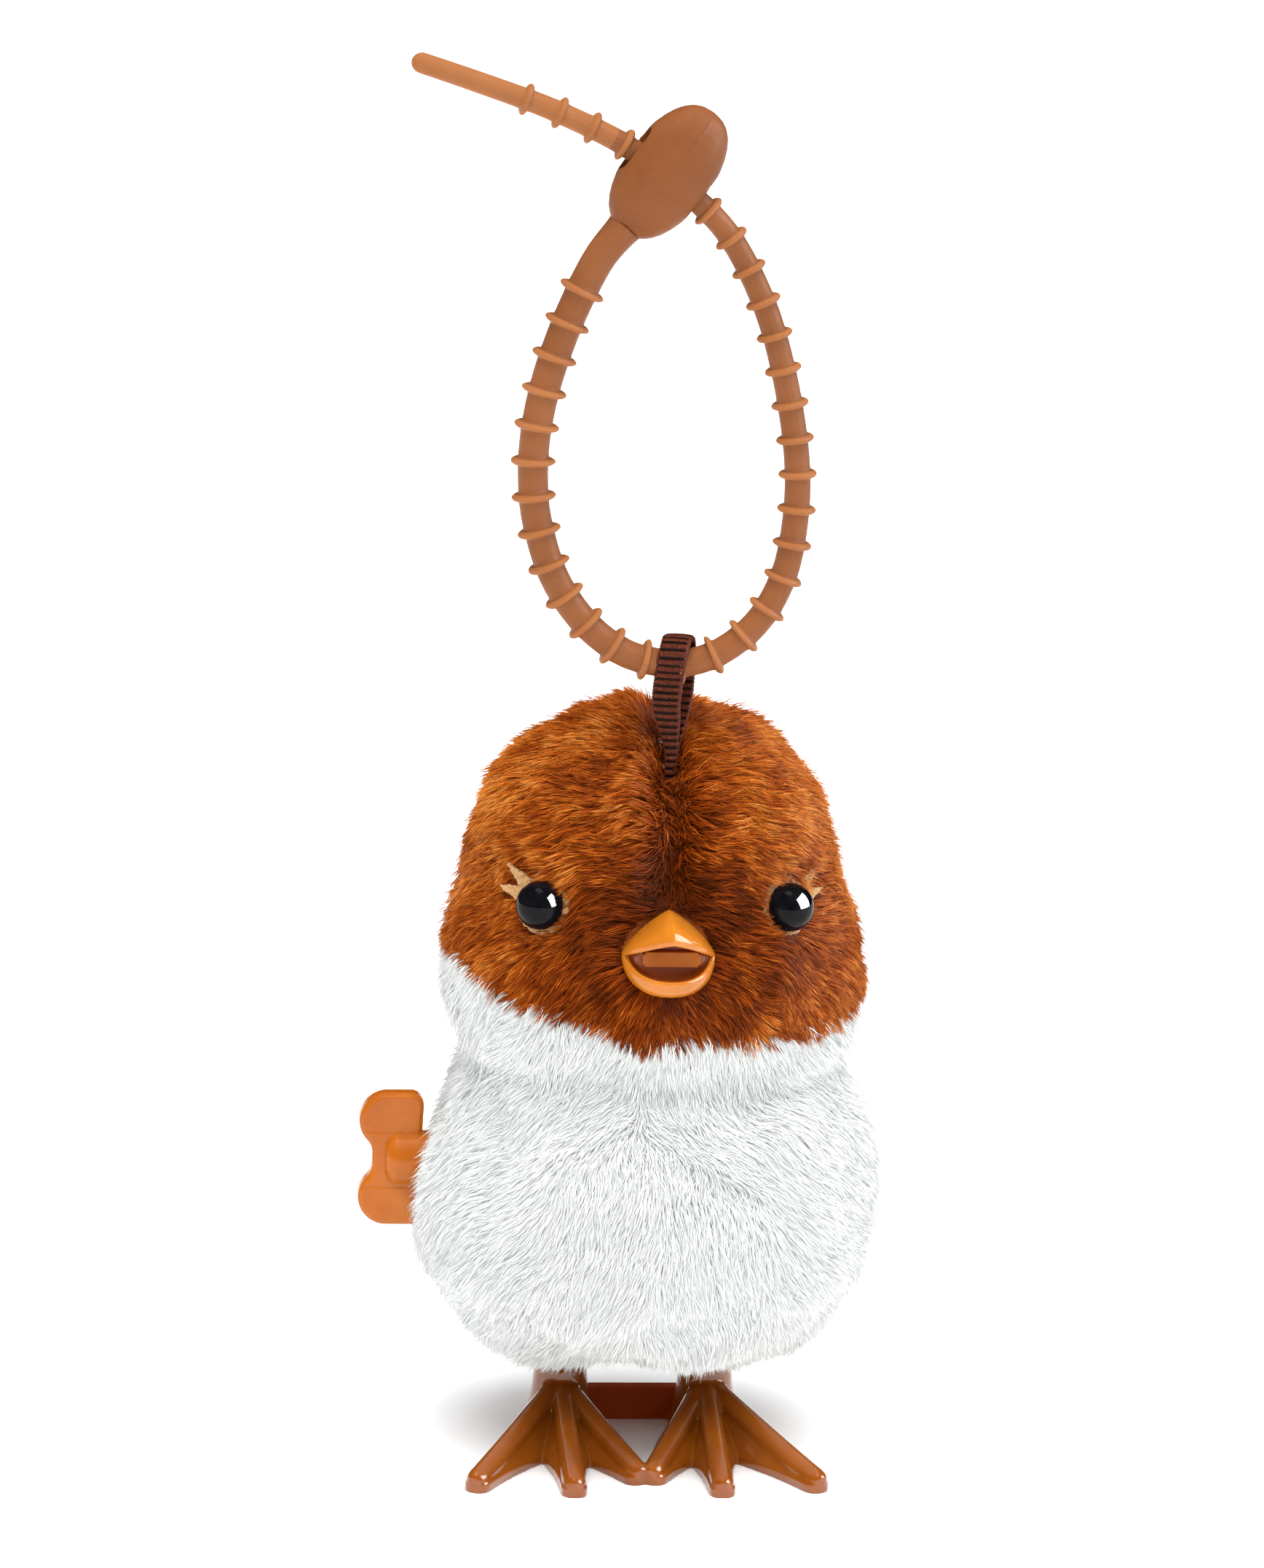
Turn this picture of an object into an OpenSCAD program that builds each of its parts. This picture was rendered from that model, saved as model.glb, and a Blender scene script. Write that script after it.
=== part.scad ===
/* [Plush cover] */
// Half width of the belly fabric
belly_r = 27.5; // [27:0.1:28.5]
// Half width of the cheek fabric
head_r = 25; // [24.5:0.1:25.5]
// Depth of the cover as a share of its width
depth_ratio = 0.92; // [0.9:0.01:0.96]
// Thickness of the backing fabric
fabric_t = 1.2; // [0.9:0.1:1.4]

/* [Face] */
// Diameter of a safety eye
eye_d = 6; // [5.5:0.1:6.4]
// Angle of an eye from straight ahead
eye_angle = 38; // [36:1:40]
// Height of the eyes above the floor
eye_z = 72.8; // [72:0.1:74]
// Width of the beak at its corners
beak_w = 11.4; // [10.8:0.1:12]

/* [Feet and legs] */
// Distance from the middle to a leg
leg_x = 9.15; // [9.1:0.05:9.3]
// Diameter of a leg post
leg_d = 5.6; // [5.2:0.1:5.7]
// Length of a middle toe from the leg
toe_l = 26; // [24:0.5:28]
// Diameter of an ankle collar
collar_d = 6.6; // [6.4:0.1:7]

/* [Key] */
// Diameter of the key's hub
key_hub_d = 6.75; // [6.2:0.05:6.8]
// Height of the key's axis above the floor
key_z = 36; // [35.8:0.1:36.2]
// Height of the key's bow from lobe to lobe
bow_h = 17; // [16:0.5:17.5]

/* [Clockwork] */
// Gear module
gear_m = 0.4; // [0.38:0.01:0.4]
// Throw of the crank pins
crank_throw = 2; // [1.6:0.1:2]

/* [Ribbon and strap] */
// Width of the ribbon
ribbon_w = 3.6; // [3.2:0.1:4]
// Height of the strap's lowest point above the floor
strap_z = 102; // [101.8:0.1:102.2]
// Diameter of the strap at its lock
strap_d = 3.9; // [3.6:0.1:4]
// Diameter of the strap at its tail
strap_tail_d = 2.6; // [2.4:0.1:2.8]
// Length of the lock
lock_l = 17.9; // [17:0.1:18.2]
// Width of the lock
lock_w = 10.7; // [10:0.1:11]
// Depth of the lock
lock_d = 8.4; // [8:0.1:9]

/* [Hidden] */
$fn = 48;
eps = 0.01;

// Cover outline: height, half width as a share of the belly or cheek radius
body_rows = [[13, 0.56], [14.3, 0.69], [16.5, 0.78], [20, 0.885], [23.5, 0.955], [27.5, 0.99],
             [32, 1], [36.5, 0.985], [40.5, 0.955], [44, 0.905], [47, 0.86], [50.5, 0.83]];
head_rows = [[54, 0.95], [57.5, 0.995], [61.5, 1], [65.5, 0.96], [69.5, 0.92], [74, 0.875],
             [79, 0.83], [83.5, 0.76], [87, 0.65], [90, 0.5], [92.3, 0.32], [93.6, 0.06]];
width_table = concat([for (r = body_rows) [r[0], r[1] * belly_r]],
                     [for (r = head_rows) [r[0], r[1] * head_r]]);
plush_floor = body_rows[0][0];
plush_top = head_rows[len(head_rows) - 1][0];
plush_mid = (plush_floor + plush_top) / 2;
cover_sides = 32;
squareness = 2.25;

// Border between the brown cap and the white body
border_front = 57.6;
border_rise = 4.6;
border_tilt = 2.8;
chin_dip = 1.8;
border_reach = 45;
border_hub = 60;

// Face
beak_x = 0.45;
beak_z = 68.3;
beak_root_y = -21.5;
felt_t = 0.8;
eye_stem_r = 1.2;
washer_t = 0.9;
washer_gap = 0.55;

// Motor case
case_half = 5.55;
case_wall = 1.1;
case_y0 = -16;
case_y1 = 13;
case_z0 = 17.5;
case_z1 = 46.5;
case_r = 3;
fit = 0.05;
screw_r = 0.8;
case_screws = [[-13.6, 20], [-13.4, 43.9], [10.4, 43.9]];

// Gear train in the plane across the key's axis: [y, z]
drive_teeth = 45;
second_teeth = 36;
pinion_teeth = 12;
pressure_angle = 25;
backlash = 0.1;
bow_t = 1;
arbor_r = 1.2;
axle_r = 0.8;
crank_axle_r = 1;
gear_t = 1.5;
layer_a = -4.15;
layer_b = -2.35;
spring_x0 = -0.3;
spring_w = 4;
arbor_p = [0, key_z];
train_angle_1 = 230;
train_angle_2 = -16;
centre_1 = gear_m * (drive_teeth + pinion_teeth) / 2;
centre_2 = gear_m * (second_teeth + pinion_teeth) / 2;
second_p = arbor_p + centre_1 * [cos(train_angle_1), sin(train_angle_1)];
crank_p = second_p + centre_2 * [cos(train_angle_2), sin(train_angle_2)];

// Legs
pivot_p = [9, 22];
pivot_r = 1;
arm_x0 = 7.6;
arm_t = 2.6;
crank_x0 = 5.85;
crank_t = 1.4;
crank_r = 3;
crank_pin_r = 0.9;
window_r = 3.6;
tie_p = [7, 16.1];

// Feet
collar_top = 10.8;
inner_join = -21;
outer_toe = [21.6, -24];
toe_r = 1.4;
toe_tip_h = 2.6;
toe_root_h = 8.4;
toe_edge = 1.1;
bar_y = 6.4;
bar_h = 4.3;
bar_t = 2;
heel_w = 3.2;
heel_y = 3.4;

// Base plate
plate_z = 13.2;
plate_t = 1;
base_screw_x = 2.8;
base_screw_y = -8;

// Ribbon
ribbon_x = 1;
ribbon_y = -12.4;
ribbon_t = 0.45;
ribbon_fold_z = 91.5;
ribbon_turn = -6;
ribbon_loop_r = 2.45;

// Strap route in its own plane: [x, z] from the lock round to the tail
strap_y = -13;
strap_route = [[-6.5, 155.5], [-9.3, 152], [-11.6, 147.5], [-13.8, 142], [-15.6, 136],
               [-16.7, 129.5], [-16.7, 123], [-15.8, 118], [-14, 112.8], [-11.5, 108.8],
               [-8.5, 105.6], [-4.8, 103.2], [-1, 102.2], [1.4, 102], [5.4, 103], [9, 105.3],
               [11.7, 108.3], [13.6, 112], [14.7, 116], [15.3, 122], [15.1, 127.5],
               [14.2, 133.3], [12.9, 139], [11.2, 144.5], [9, 149.5], [6.3, 154.1],
               [3.1, 157.7], [-1.4, 161.3], [-5.7, 164.5], [-9.5, 166.6], [-15.6, 169.3],
               [-20, 170.9], [-26, 172.9], [-32.6, 175]];
strap_sides = 8;
lock_c = [-1.6, 162.1];
lock_tilt = 36;
lock_hole_tilt = 35.8;
slot_r = 1.8;

// ---- Shared functions ----

function signed_pow(v, e) = sign(v) * pow(abs(v), e);
function cover_rx(z) = lookup(z, width_table);
function cover_ry(z) = cover_rx(z) * depth_ratio;
function cover_cx(z) = 0.3 + exp(-pow((z - 42) / 15, 2));
function cover_cy(z) = z > 52 ? -1 : -0.5;

// A point of the cover: height, angle round it, and how far inside the fabric
function cover_point(z, a, inset) =
    [cover_cx(z) + max(cover_rx(z) - inset, 0.3) * signed_pow(cos(a), 2 / squareness),
     cover_cy(z) + max(cover_ry(z) - inset, 0.3) * signed_pow(sin(a), 2 / squareness),
     plush_mid + (z - plush_mid) * (1 - inset / (plush_top - plush_mid))];

// Outward direction of the cover there
function cover_normal(z, a) =
    let (n = cross(cover_point(z, a + 2, 0) - cover_point(z, a - 2, 0),
                   cover_point(z + 2, a, 0) - cover_point(z - 2, a, 0)))
    n / norm(n);

function border_z(a) =
    border_front + border_rise * (1 - cos(a)) - border_tilt * sin(a)
    - chin_dip * exp(-pow((a + 5) / 9, 2));

function involute(a) = tan(a) * 180 / PI - a;

// Half the angle of a tooth at radius r
function tooth_half(teeth, r) =
    let (rp = gear_m * teeth / 2, rb = rp * cos(pressure_angle))
    90 / teeth - backlash / 2 / rp * 180 / PI + involute(pressure_angle)
    - (r > rb ? involute(acos(rb / r)) : 0);

function polar(r, a) = [r * cos(a), r * sin(a)];

function gear_outline(teeth) =
    let (rp = gear_m * teeth / 2,
         radii = [rp - 1.25 * gear_m, rp - 0.4 * gear_m, rp, rp + 0.5 * gear_m,
                  rp + 0.92 * gear_m])
    [for (i = [0:teeth - 1], s = [-1, 1], k = [0:len(radii) - 1])
        let (r = s < 0 ? radii[k] : radii[len(radii) - 1 - k])
        polar(r, i * 360 / teeth + s * tooth_half(teeth, r))];

// Triangles that close a stack of rings, each of n points
function ring_faces(rings, n) = concat(
    [for (i = [0:rings - 2], j = [0:n - 1])
        [i * n + j, i * n + (j + 1) % n, (i + 1) * n + j]],
    [for (i = [0:rings - 2], j = [0:n - 1])
        [i * n + (j + 1) % n, (i + 1) * n + (j + 1) % n, (i + 1) * n + j]],
    [[for (j = [n - 1:-1:0]) j]],
    [[for (j = [0:n - 1]) (rings - 1) * n + j]]);

module ring_solid(points, rings, n)
    polyhedron(points, [for (f = ring_faces(rings, n)) [for (i = [len(f) - 1:-1:0]) f[i]]]);

// ---- Cover ----

module cover_solid(inset) {
    points = [for (row = width_table, j = [0:cover_sides - 1])
        cover_point(row[0], j * 360 / cover_sides, inset)];
    ring_solid(points, len(width_table), cover_sides);
}

module cover_shell() {
    difference() {
        cover_solid(0);
        cover_solid(fabric_t);
    }
}

// Everything above the border of the cap
module cap_zone() {
    n = 36;
    scale_z = border_reach / head_r;
    low = [for (j = [0:n - 1])
        let (a = j * 360 / n)
        [border_reach * sin(a), -border_reach * cos(a),
         border_hub + (border_z(a > 180 ? a - 360 : a) - border_hub) * scale_z]];
    high = [for (p = low) [p[0], p[1], plush_top + 15]];
    points = concat(low, high, [[0, 0, border_hub], [0, 0, plush_top + 15]]);
    faces = concat(
        [for (j = [0:n - 1]) [2 * n, j, (j + 1) % n]],
        [for (j = [0:n - 1]) [j, n + j, n + (j + 1) % n]],
        [for (j = [0:n - 1]) [j, n + (j + 1) % n, (j + 1) % n]],
        [for (j = [0:n - 1]) [2 * n + 1, n + (j + 1) % n, n + j]]);
    polyhedron(points, faces);
}

// Puts children on the cover with their own Z pointing out of it; side -1 is the viewer's left
module at_eye(side) {
    a = -90 + side * eye_angle;
    p = cover_point(eye_z, a, 0);
    n = cover_normal(eye_z, a);
    translate(p) rotate([0, acos(n[2]), atan2(n[1], n[0])]) rotate([0, 0, 90]) children();
}

module at_beak()
    translate([beak_x, beak_root_y, beak_z]) rotate([90, 0, 0]) children();

module ribbon_slot()
    translate([ribbon_x - 1.3, ribbon_y - 1, ribbon_fold_z - 9]) cube([2.6, 2, 12]);

module key_hole(r)
    translate([-40, 0, key_z]) rotate([0, 90, 0]) cylinder(r = r, h = 36);

module base_outline(grow) {
    w = 14 + grow;
    d = 10.5 + grow;
    c = 6;
    square([2 * w, 2 * (d - c)], center = true);
    square([2 * (w - c), 2 * d], center = true);
    for (x = [-1, 1], y = [-1, 1]) translate([x * (w - c), y * (d - c)]) circle(r = c);
}

module head_plush() {
    color("#a9591c") difference() {
        intersection() {
            cover_shell();
            cap_zone();
        }
        for (s = [-1, 1]) at_eye(s) translate([0, 0, -5]) cylinder(r = eye_stem_r + 0.1, h = 8);
        at_beak() translate([0, 0, -6]) cylinder(r = 1.7, h = 10);
        translate([beak_x, beak_root_y, beak_z]) beak_outer();
        ribbon_slot();
    }
}

module body_plush() {
    color("#eceeed") difference() {
        cover_shell();
        cap_zone();
        key_hole(key_hub_d / 2 + 0.5);
        translate([0, 0, plush_floor - 2]) linear_extrude(6) base_outline(0.2);
    }
}

module head_stuffing() {
    color("#f4f2ea") difference() {
        intersection() {
            cover_solid(fabric_t + 0.1);
            translate([0, 0, 0.2]) cap_zone();
        }
        for (s = [-1, 1]) at_eye(s) translate([0, 0, -8]) cylinder(r = 4, h = 12);
        at_beak() {
            translate([0, 0, -8]) cylinder(r = 3.8, h = 12);
            translate([0, 0, -0.1]) cylinder(r = beak_w / 2 + 0.6, h = 5);
        }
        ribbon_slot();
    }
}

module body_stuffing() {
    color("#f4f2ea") difference() {
        cover_solid(fabric_t + 0.1);
        cap_zone();
        key_hole(key_hub_d / 2 + 0.5);
        translate([-12.4, case_y0 - 0.3, plush_floor - 1]) cube([24.8, 32, case_z1 - 11.7]);
        at_beak() translate([0, 0, -8]) cylinder(r = 3.8, h = 12);
    }
}

// ---- Face ----

// The beak's surface from the skin out to the lips and back into the mouth. Each row gives
// how far it lies inside the beak's width, how far forward its corners are, how much further
// the middle of the upper and the lower half reach, and their heights above and below the corners
beak_rows = [[0.5, 0, 0, 0, 4.9, 4.4], [0.05, 0.8, 0, 0, 5.3, 4.8], [0, 1.5, 0.9, 0.8, 5.3, 4.85],
             [0.02, 1.9, 2.6, 2.2, 5.1, 4.75], [0.1, 2.1, 4.3, 3.7, 4.75, 4.4],
             [0.2, 2.25, 5.4, 4.6, 4.2, 3.8], [0.3, 2.3, 5.8, 4.95, 3.5, 3.1],
             [0.45, 2.3, 5.9, 5.1, 2.9, 2.5], [0.65, 2.25, 5.8, 5, 2.6, 2.15],
             [0.85, 2.15, 5.4, 4.55, 2.6, 2.2], [1, 2.2, 3.2, 2.6, 2.9, 2.5],
             [1.3, 2.6, 1, 1, 3, 2.5], [1.75, 3.35, 0.05, 0.05, 2.6, 2.2], [5.3, 3.4, 0, 0, 0.3, 0.3]];
beak_sides = 32;

function beak_point(row, a) =
    let (upper = sin(a) > 0, s = abs(sin(a)))
    [(beak_w / 2 - row[0]) * signed_pow(cos(a), upper ? 1.6 : 0.9),
     -row[1] - row[upper ? 2 : 3] * pow(s, 1.2),
     upper ? row[4] * pow(s, 1.6) : -row[5] * pow(s, 0.85)];

module beak_outer()
    ring_solid([for (row = beak_rows, j = [0:beak_sides - 1]) beak_point(row, j * 360 / beak_sides)],
               len(beak_rows), beak_sides);

module beak() {
    color("#d4862f") translate([beak_x, beak_root_y, beak_z]) {
        beak_outer();
        rotate([-90, 0, 0]) translate([0, 0, -1]) cylinder(r = 1.6, h = 6.5);
    }
}

module beak_tongue() {
    color("#7a3f1d") translate([beak_x + 0.15, beak_root_y - 3.4, beak_z])
        rotate([90, 0, 0]) linear_extrude(1.1) {
            square([6.4, 1.9], center = true);
            square([7, 1.3], center = true);
        }
}

module push_washer(r, bore) {
    difference() {
        union() {
            cylinder(r = r, h = washer_t);
            translate([0, 0, -0.8]) cylinder(r = bore + 0.9, h = 1);
        }
        translate([0, 0, -2]) cylinder(r = bore, h = 5);
    }
}

module beak_washer() {
    color("#efece4") translate([beak_x, beak_root_y + 3.4, beak_z]) rotate([90, 0, 0])
        push_washer(3.6, 1.6);
}

module eye(side) {
    r = eye_d / 2;
    color("#101010") at_eye(side) {
        translate([0, 0, felt_t + 0.1]) intersection() {
            translate([0, 0, 0.55]) sphere(r = r);
            cylinder(r = r, h = 6);
        }
        translate([0, 0, -4]) cylinder(r = eye_stem_r, h = 5.5);
    }
}

// Felt pad under an eye: a disc with three pointed lashes to the outer top
module lash(side) {
    color("#be915a") at_eye(side) translate([0, 0, 0.05]) linear_extrude(felt_t) difference() {
        union() {
            circle(r = eye_d / 2 + 0.55);
            for (t = [[14, 6.8], [37, 7.5], [78, 5.6]])
                let (a = 90 - side * (90 - t[0]))
                polygon([polar(3, a - 24), polar(t[1], a), polar(3, a + 20)]);
        }
        circle(r = eye_stem_r + 0.05);
    }
}

module eye_washer(side) {
    color("#efece4") at_eye(side) translate([0, 0, -fabric_t - washer_gap - washer_t])
        push_washer(3.4, eye_stem_r);
}

// ---- Ribbon and strap ----

module ribbon_root() {
    color("#4b2a1c") translate([ribbon_x - 0.8, ribbon_y - ribbon_t, ribbon_fold_z - 7.2])
        cube([1.6, 2 * ribbon_t, 7]);
}

module ribbon_loop() {
    rise = strap_z + 0.7 - ribbon_fold_z;
    spread = ribbon_loop_r + ribbon_t / 2;
    lean = atan2(spread, rise);
    color("#4b2a1c") translate([ribbon_x + 0.4, strap_y, ribbon_fold_z])
        rotate([0, 0, ribbon_turn]) intersection() {
            union() {
                translate([-3, 0, rise]) rotate([90, 0, 90]) ribbon_top();
                for (s = [-1, 1])
                    translate([-3, s * spread, rise]) rotate([-s * lean, 0, 0])
                        translate([0, -ribbon_t / 2, -rise]) cube([6, ribbon_t, rise]);
            }
            translate([0, 10, 0.15]) rotate([90, 0, 0]) linear_extrude(20)
                polygon([[-0.9, 0], [0.5, 0], [ribbon_w / 2, 3.4], [ribbon_w / 2, 16],
                         [-ribbon_w / 2, 16], [-ribbon_w / 2, 3.4]]);
        }
}

// Upper half of the ribbon's loop, as a plate-thick half ring six wide
module ribbon_top()
    rotate_extrude(angle = 180) translate([ribbon_loop_r, 0]) square([ribbon_t, 6]);

function route_direction(i) =
    let (last = len(strap_route) - 1,
         d = strap_route[min(i + 1, last)] - strap_route[max(i - 1, 0)])
    d / norm(d);

module strap() {
    last = len(strap_route) - 1;
    points = [for (i = [0:last], j = [0:strap_sides - 1])
        let (d = route_direction(i), a = j * 360 / strap_sides,
             r = (strap_d + (strap_tail_d - strap_d) * i / last) / 2)
        [strap_route[i][0] - d[1] * r * cos(a), strap_y + r * sin(a),
         strap_route[i][1] + d[0] * r * cos(a)]];
    color("#c98d64") ring_solid(points, last + 1, strap_sides);
}

module strap_lock() {
    n = 32;
    rings = 18;
    points = [for (i = [0:rings - 1], j = [0:n - 1])
        let (t = -88.5 + i * 177 / (rings - 1), a = j * 360 / n, s = pow(cos(t), 0.82))
        [lock_w / 2 * s * signed_pow(cos(a), 0.85), lock_d / 2 * s * signed_pow(sin(a), 0.85),
         lock_l / 2 * sin(t)]];
    color("#c4875c") translate([lock_c[0], strap_y, lock_c[1]]) difference() {
        rotate([0, lock_tilt, 0]) ring_solid(points, rings, n);
        rotate([0, lock_hole_tilt - 90, 0]) translate([0, 0, -8]) linear_extrude(16) {
            square([2.6, 2 * slot_r], center = true);
            for (s = [-1, 1]) translate([s * 1.3, 0]) circle(r = slot_r);
        }
    }
}

// ---- Key and clockwork ----

// Turns drawings in XY into the plane across the key's axis, with Z along +X
module across(x, p)
    translate([x, p[0], p[1]]) rotate([90, 0, 90]) children();

// The key's flat bow: two lobes with a shallow waist between them on the outer side
module bow_outline() {
    soft = 2.4;
    offset(r = -soft) offset(delta = soft) {
        for (side = [-1, 1]) hull() {
            translate([-31.6, side * 4.9]) circle(r = 3.6);
            translate([-28.8, side * (bow_h / 2 - 1.6)]) circle(r = 1.6);
            translate([-28.9, side * 4]) circle(r = 1.6);
        }
        translate([-30.5, 0]) square([6, 8], center = true);
    }
}

module winding_key() {
    r = key_hub_d / 2;
    color("#d2873a") difference() {
        union() {
            translate([0, 0, key_z]) rotate([90, 0, 0]) {
                linear_extrude(2 * bow_t, center = true) bow_outline();
                linear_extrude(2 * bow_t + 0.6, center = true) offset(r = -0.35) bow_outline();
            }
            translate([-31.9, 0, key_z]) rotate([0, 90, 0]) rotate_extrude() {
                translate([0, 1.5]) square([r, 10.9]);
                square([r - 1.5, 2]);
                translate([r - 1.5, 1.5]) circle(r = 1.5);
            }
        }
        translate([-27.5, 0, key_z]) rotate([0, 90, 0]) cylinder(r = arbor_r, h = 10);
    }
}

module winding_arbor() {
    color("#b9bcc0") {
        across(-27.4, arbor_p) cylinder(r = arbor_r, h = 27.4 + case_half + 0.6);
        across(spring_x0, arbor_p) cylinder(r = 1.9, h = spring_w);
    }
}

module mainspring() {
    turns = 5.5;
    steps = 22 * turns;
    r0 = 2.2;
    r1 = 8;
    t = 0.35;
    inner = [for (i = [0:steps]) polar(r0 + (r1 - r0) * i / steps, i * 360 * turns / steps)];
    outer = [for (i = [steps:-1:0])
        polar(r0 + t + (r1 - r0) * i / steps, i * 360 * turns / steps)];
    color("#6d7178") across(spring_x0, arbor_p) linear_extrude(spring_w)
        polygon(concat(inner, outer));
}

module gear(teeth, turn, bore, t) {
    difference() {
        rotate([0, 0, turn]) linear_extrude(t) polygon(gear_outline(teeth));
        translate([0, 0, -1]) cylinder(r = bore, h = t + 2);
    }
}

module drive_gear() {
    color("#e9e3cf") across(layer_a, arbor_p) difference() {
        gear(drive_teeth, train_angle_1, arbor_r, gear_t);
        for (a = [0:60:300]) translate([polar(5.8, a)[0], polar(5.8, a)[1], -1])
            cylinder(r = 1.5, h = 4);
    }
}

module ratchet_wheel() {
    teeth = 10;
    color("#8d8f94") across(layer_b, arbor_p) linear_extrude(1) difference() {
        polygon([for (i = [0:teeth - 1], k = [0, 1])
            polar(k == 0 ? 2.3 : 3, i * 360 / teeth + k * 26)]);
        circle(r = arbor_r);
    }
}

module click_spring() {
    color("#d9b45a") across(layer_a + gear_t, arbor_p) rotate([0, 0, 40])
        rotate_extrude(angle = 110) translate([3.2, 0]) square([0.35, 1.2]);
}

module second_wheel() {
    color("#e9e3cf") {
        across(layer_b, second_p) gear(second_teeth, train_angle_2, axle_r, gear_t);
        across(layer_a, second_p)
            gear(pinion_teeth, train_angle_1 + 180 + 180 / pinion_teeth, axle_r, 1.8 + eps);
    }
}

module second_axle() {
    color("#b9bcc0") across(-case_half + 0.2, second_p) cylinder(r = axle_r, h = 2 * case_half - 0.4);
}

module crank_wheel() {
    color("#e9e3cf") {
        across(layer_b, crank_p)
            gear(pinion_teeth, train_angle_2 + 180 + 180 / pinion_teeth, crank_axle_r, gear_t);
        across(layer_b + gear_t - eps, crank_p) difference() {
            cylinder(r = 1.8, h = 3.5);
            translate([0, 0, -1]) cylinder(r = crank_axle_r, h = 6);
        }
    }
}

module crank_axle() {
    reach = crank_x0 + crank_t;
    color("#b9bcc0") across(-reach, crank_p) cylinder(r = crank_axle_r, h = 2 * reach);
}

// Crank disc with its pin; side -1 is the viewer's left
module crank(side) {
    color("#e9e3cf") translate([0, crank_p[0], crank_p[1]]) rotate([0, side * 90, 0]) {
        difference() {
            translate([0, 0, crank_x0]) cylinder(r = crank_r, h = crank_t);
            translate([0, 0, crank_x0 - 1]) cylinder(r = crank_axle_r, h = 4);
        }
        translate([-side * crank_throw, 0, crank_x0 + crank_t - eps])
            cylinder(r = crank_pin_r, h = 3);
    }
}

module case_outline(inset) {
    y0 = case_y0 + inset;
    y1 = case_y1 - inset;
    z0 = case_z0 + inset;
    z1 = case_z1 - inset;
    r = case_r - inset;
    translate([y0 + r, z0]) square([y1 - y0 - 2 * r, z1 - z0]);
    translate([y0, z0 + r]) square([y1 - y0, z1 - z0 - 2 * r]);
    for (y = [y0 + r, y1 - r], z = [z0 + r, z1 - r]) translate([y, z]) circle(r = r);
}

// One half of the motor case with its screw bosses; side -1 is the viewer's left
module case_half_shell(side) {
    mirror([side < 0 ? 1 : 0, 0, 0]) difference() {
        union() {
            difference() {
                across(0, [0, 0]) linear_extrude(case_half) case_outline(0);
                across(-1, [0, 0]) linear_extrude(case_half + 1 - case_wall)
                    case_outline(case_wall);
            }
            for (p = case_screws) across(0, p) cylinder(r = 1.7, h = case_half - 0.5);
        }
        for (p = case_screws) across(-1, p) cylinder(r = screw_r, h = side > 0 ? 8 : 4.5);
        across(-1, arbor_p) cylinder(r = arbor_r + fit, h = 9);
        across(-1, second_p) cylinder(r = axle_r + fit, h = 9);
        across(-1, crank_p) cylinder(r = crank_axle_r + fit, h = 9);
        across(-1, pivot_p) cylinder(r = pivot_r, h = 9);
        translate([base_screw_x, base_screw_y, case_z0 - 1]) cylinder(r = screw_r, h = 4);
    }
}

module gearbox_left() {
    color("#3f6f9c") case_half_shell(-1);
}

module gearbox_right() {
    color("#4a7dac") {
        case_half_shell(1);
        across(1.2, [arbor_p[0] - 9.4, arbor_p[1] + 2])
            cylinder(r = 0.7, h = case_half - 1.2 - case_wall + eps);
    }
}

// A pan-head screw with a cross recess, head up at the origin
module screw(l) {
    difference() {
        union() {
            cylinder(r = 1.5, h = 0.9);
            translate([0, 0, -l]) cylinder(r = screw_r, h = l + eps);
        }
        for (a = [0, 90]) rotate([0, 0, a]) translate([0, 0, 0.9])
            cube([1.8, 0.35, 0.8], center = true);
    }
}

module gearbox_screws() {
    color("#9a9ea4") for (p = case_screws) across(case_half, p) screw(8.6);
}

// ---- Legs ----

module leg_pivot_pin() {
    color("#b9bcc0") across(-11.2, pivot_p) cylinder(r = pivot_r, h = 22.4);
}

module arm_outline() {
    r = window_r + 1.6;
    for (z = [24.3, 26.4]) translate([2.25, z]) circle(r = r);
    translate([2.25 - r, 24.3]) square([2 * r, 2.1]);
    translate([-leg_d / 2, 15]) square([leg_d + 3, 7]);
    translate([-leg_d / 2, 14]) square([leg_d, 2]);
    translate([2.25, 15]) square([7, 7]);
    translate(tie_p) circle(r = 1.2);
    translate(pivot_p) circle(r = 2.6);
}

module arm_window() {
    for (z = [24.3, 26.4]) translate([2.25, z]) circle(r = window_r);
    translate([2.25 - window_r, 24.3]) square([2 * window_r, 2.1]);
}

module leg_frame() {
    color("#9c5a22") {
        difference() {
            union() {
                for (s = [-1, 1]) translate([s * leg_x, 0, 2]) cylinder(r = leg_d / 2, h = 13.5);
                for (x = [-arm_x0 - arm_t, arm_x0]) across(x, [0, 0]) linear_extrude(arm_t)
                    difference() {
                        arm_outline();
                        arm_window();
                    }
                across(-arm_x0 - eps, tie_p) cylinder(r = 1, h = 2 * (arm_x0 + eps));
            }
            across(-12, pivot_p) cylinder(r = pivot_r + 0.06, h = 24);
        }
    }
}

// How far the toe has narrowed at distance s from the leg: 1 along it, 0 at the very tip
function toe_narrow(s, length) =
    let (t = max(0, s - (length - toe_r)) / toe_r)
    sqrt(max(0.01, 1 - t * t));

function toe_height(s, length) =
    toe_tip_h - 0.7 * (1 - toe_narrow(s, length))
    + (toe_root_h - toe_tip_h) * pow(1 - s / length, 1.1);

// Upright slice of a toe's half-round ridge
module ridge_slice(s, length) {
    w = toe_r * toe_narrow(s, length);
    h = toe_height(s, length);
    base = max(toe_edge, h - w);
    translate([s, 0, 0]) rotate([90, 0, 90]) linear_extrude(eps)
        polygon(concat([[-w, 0]], [for (a = [180:-18:0]) [w * cos(a), base + (h - base) * sin(a)]],
                       [[w, 0]]));
}

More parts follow.
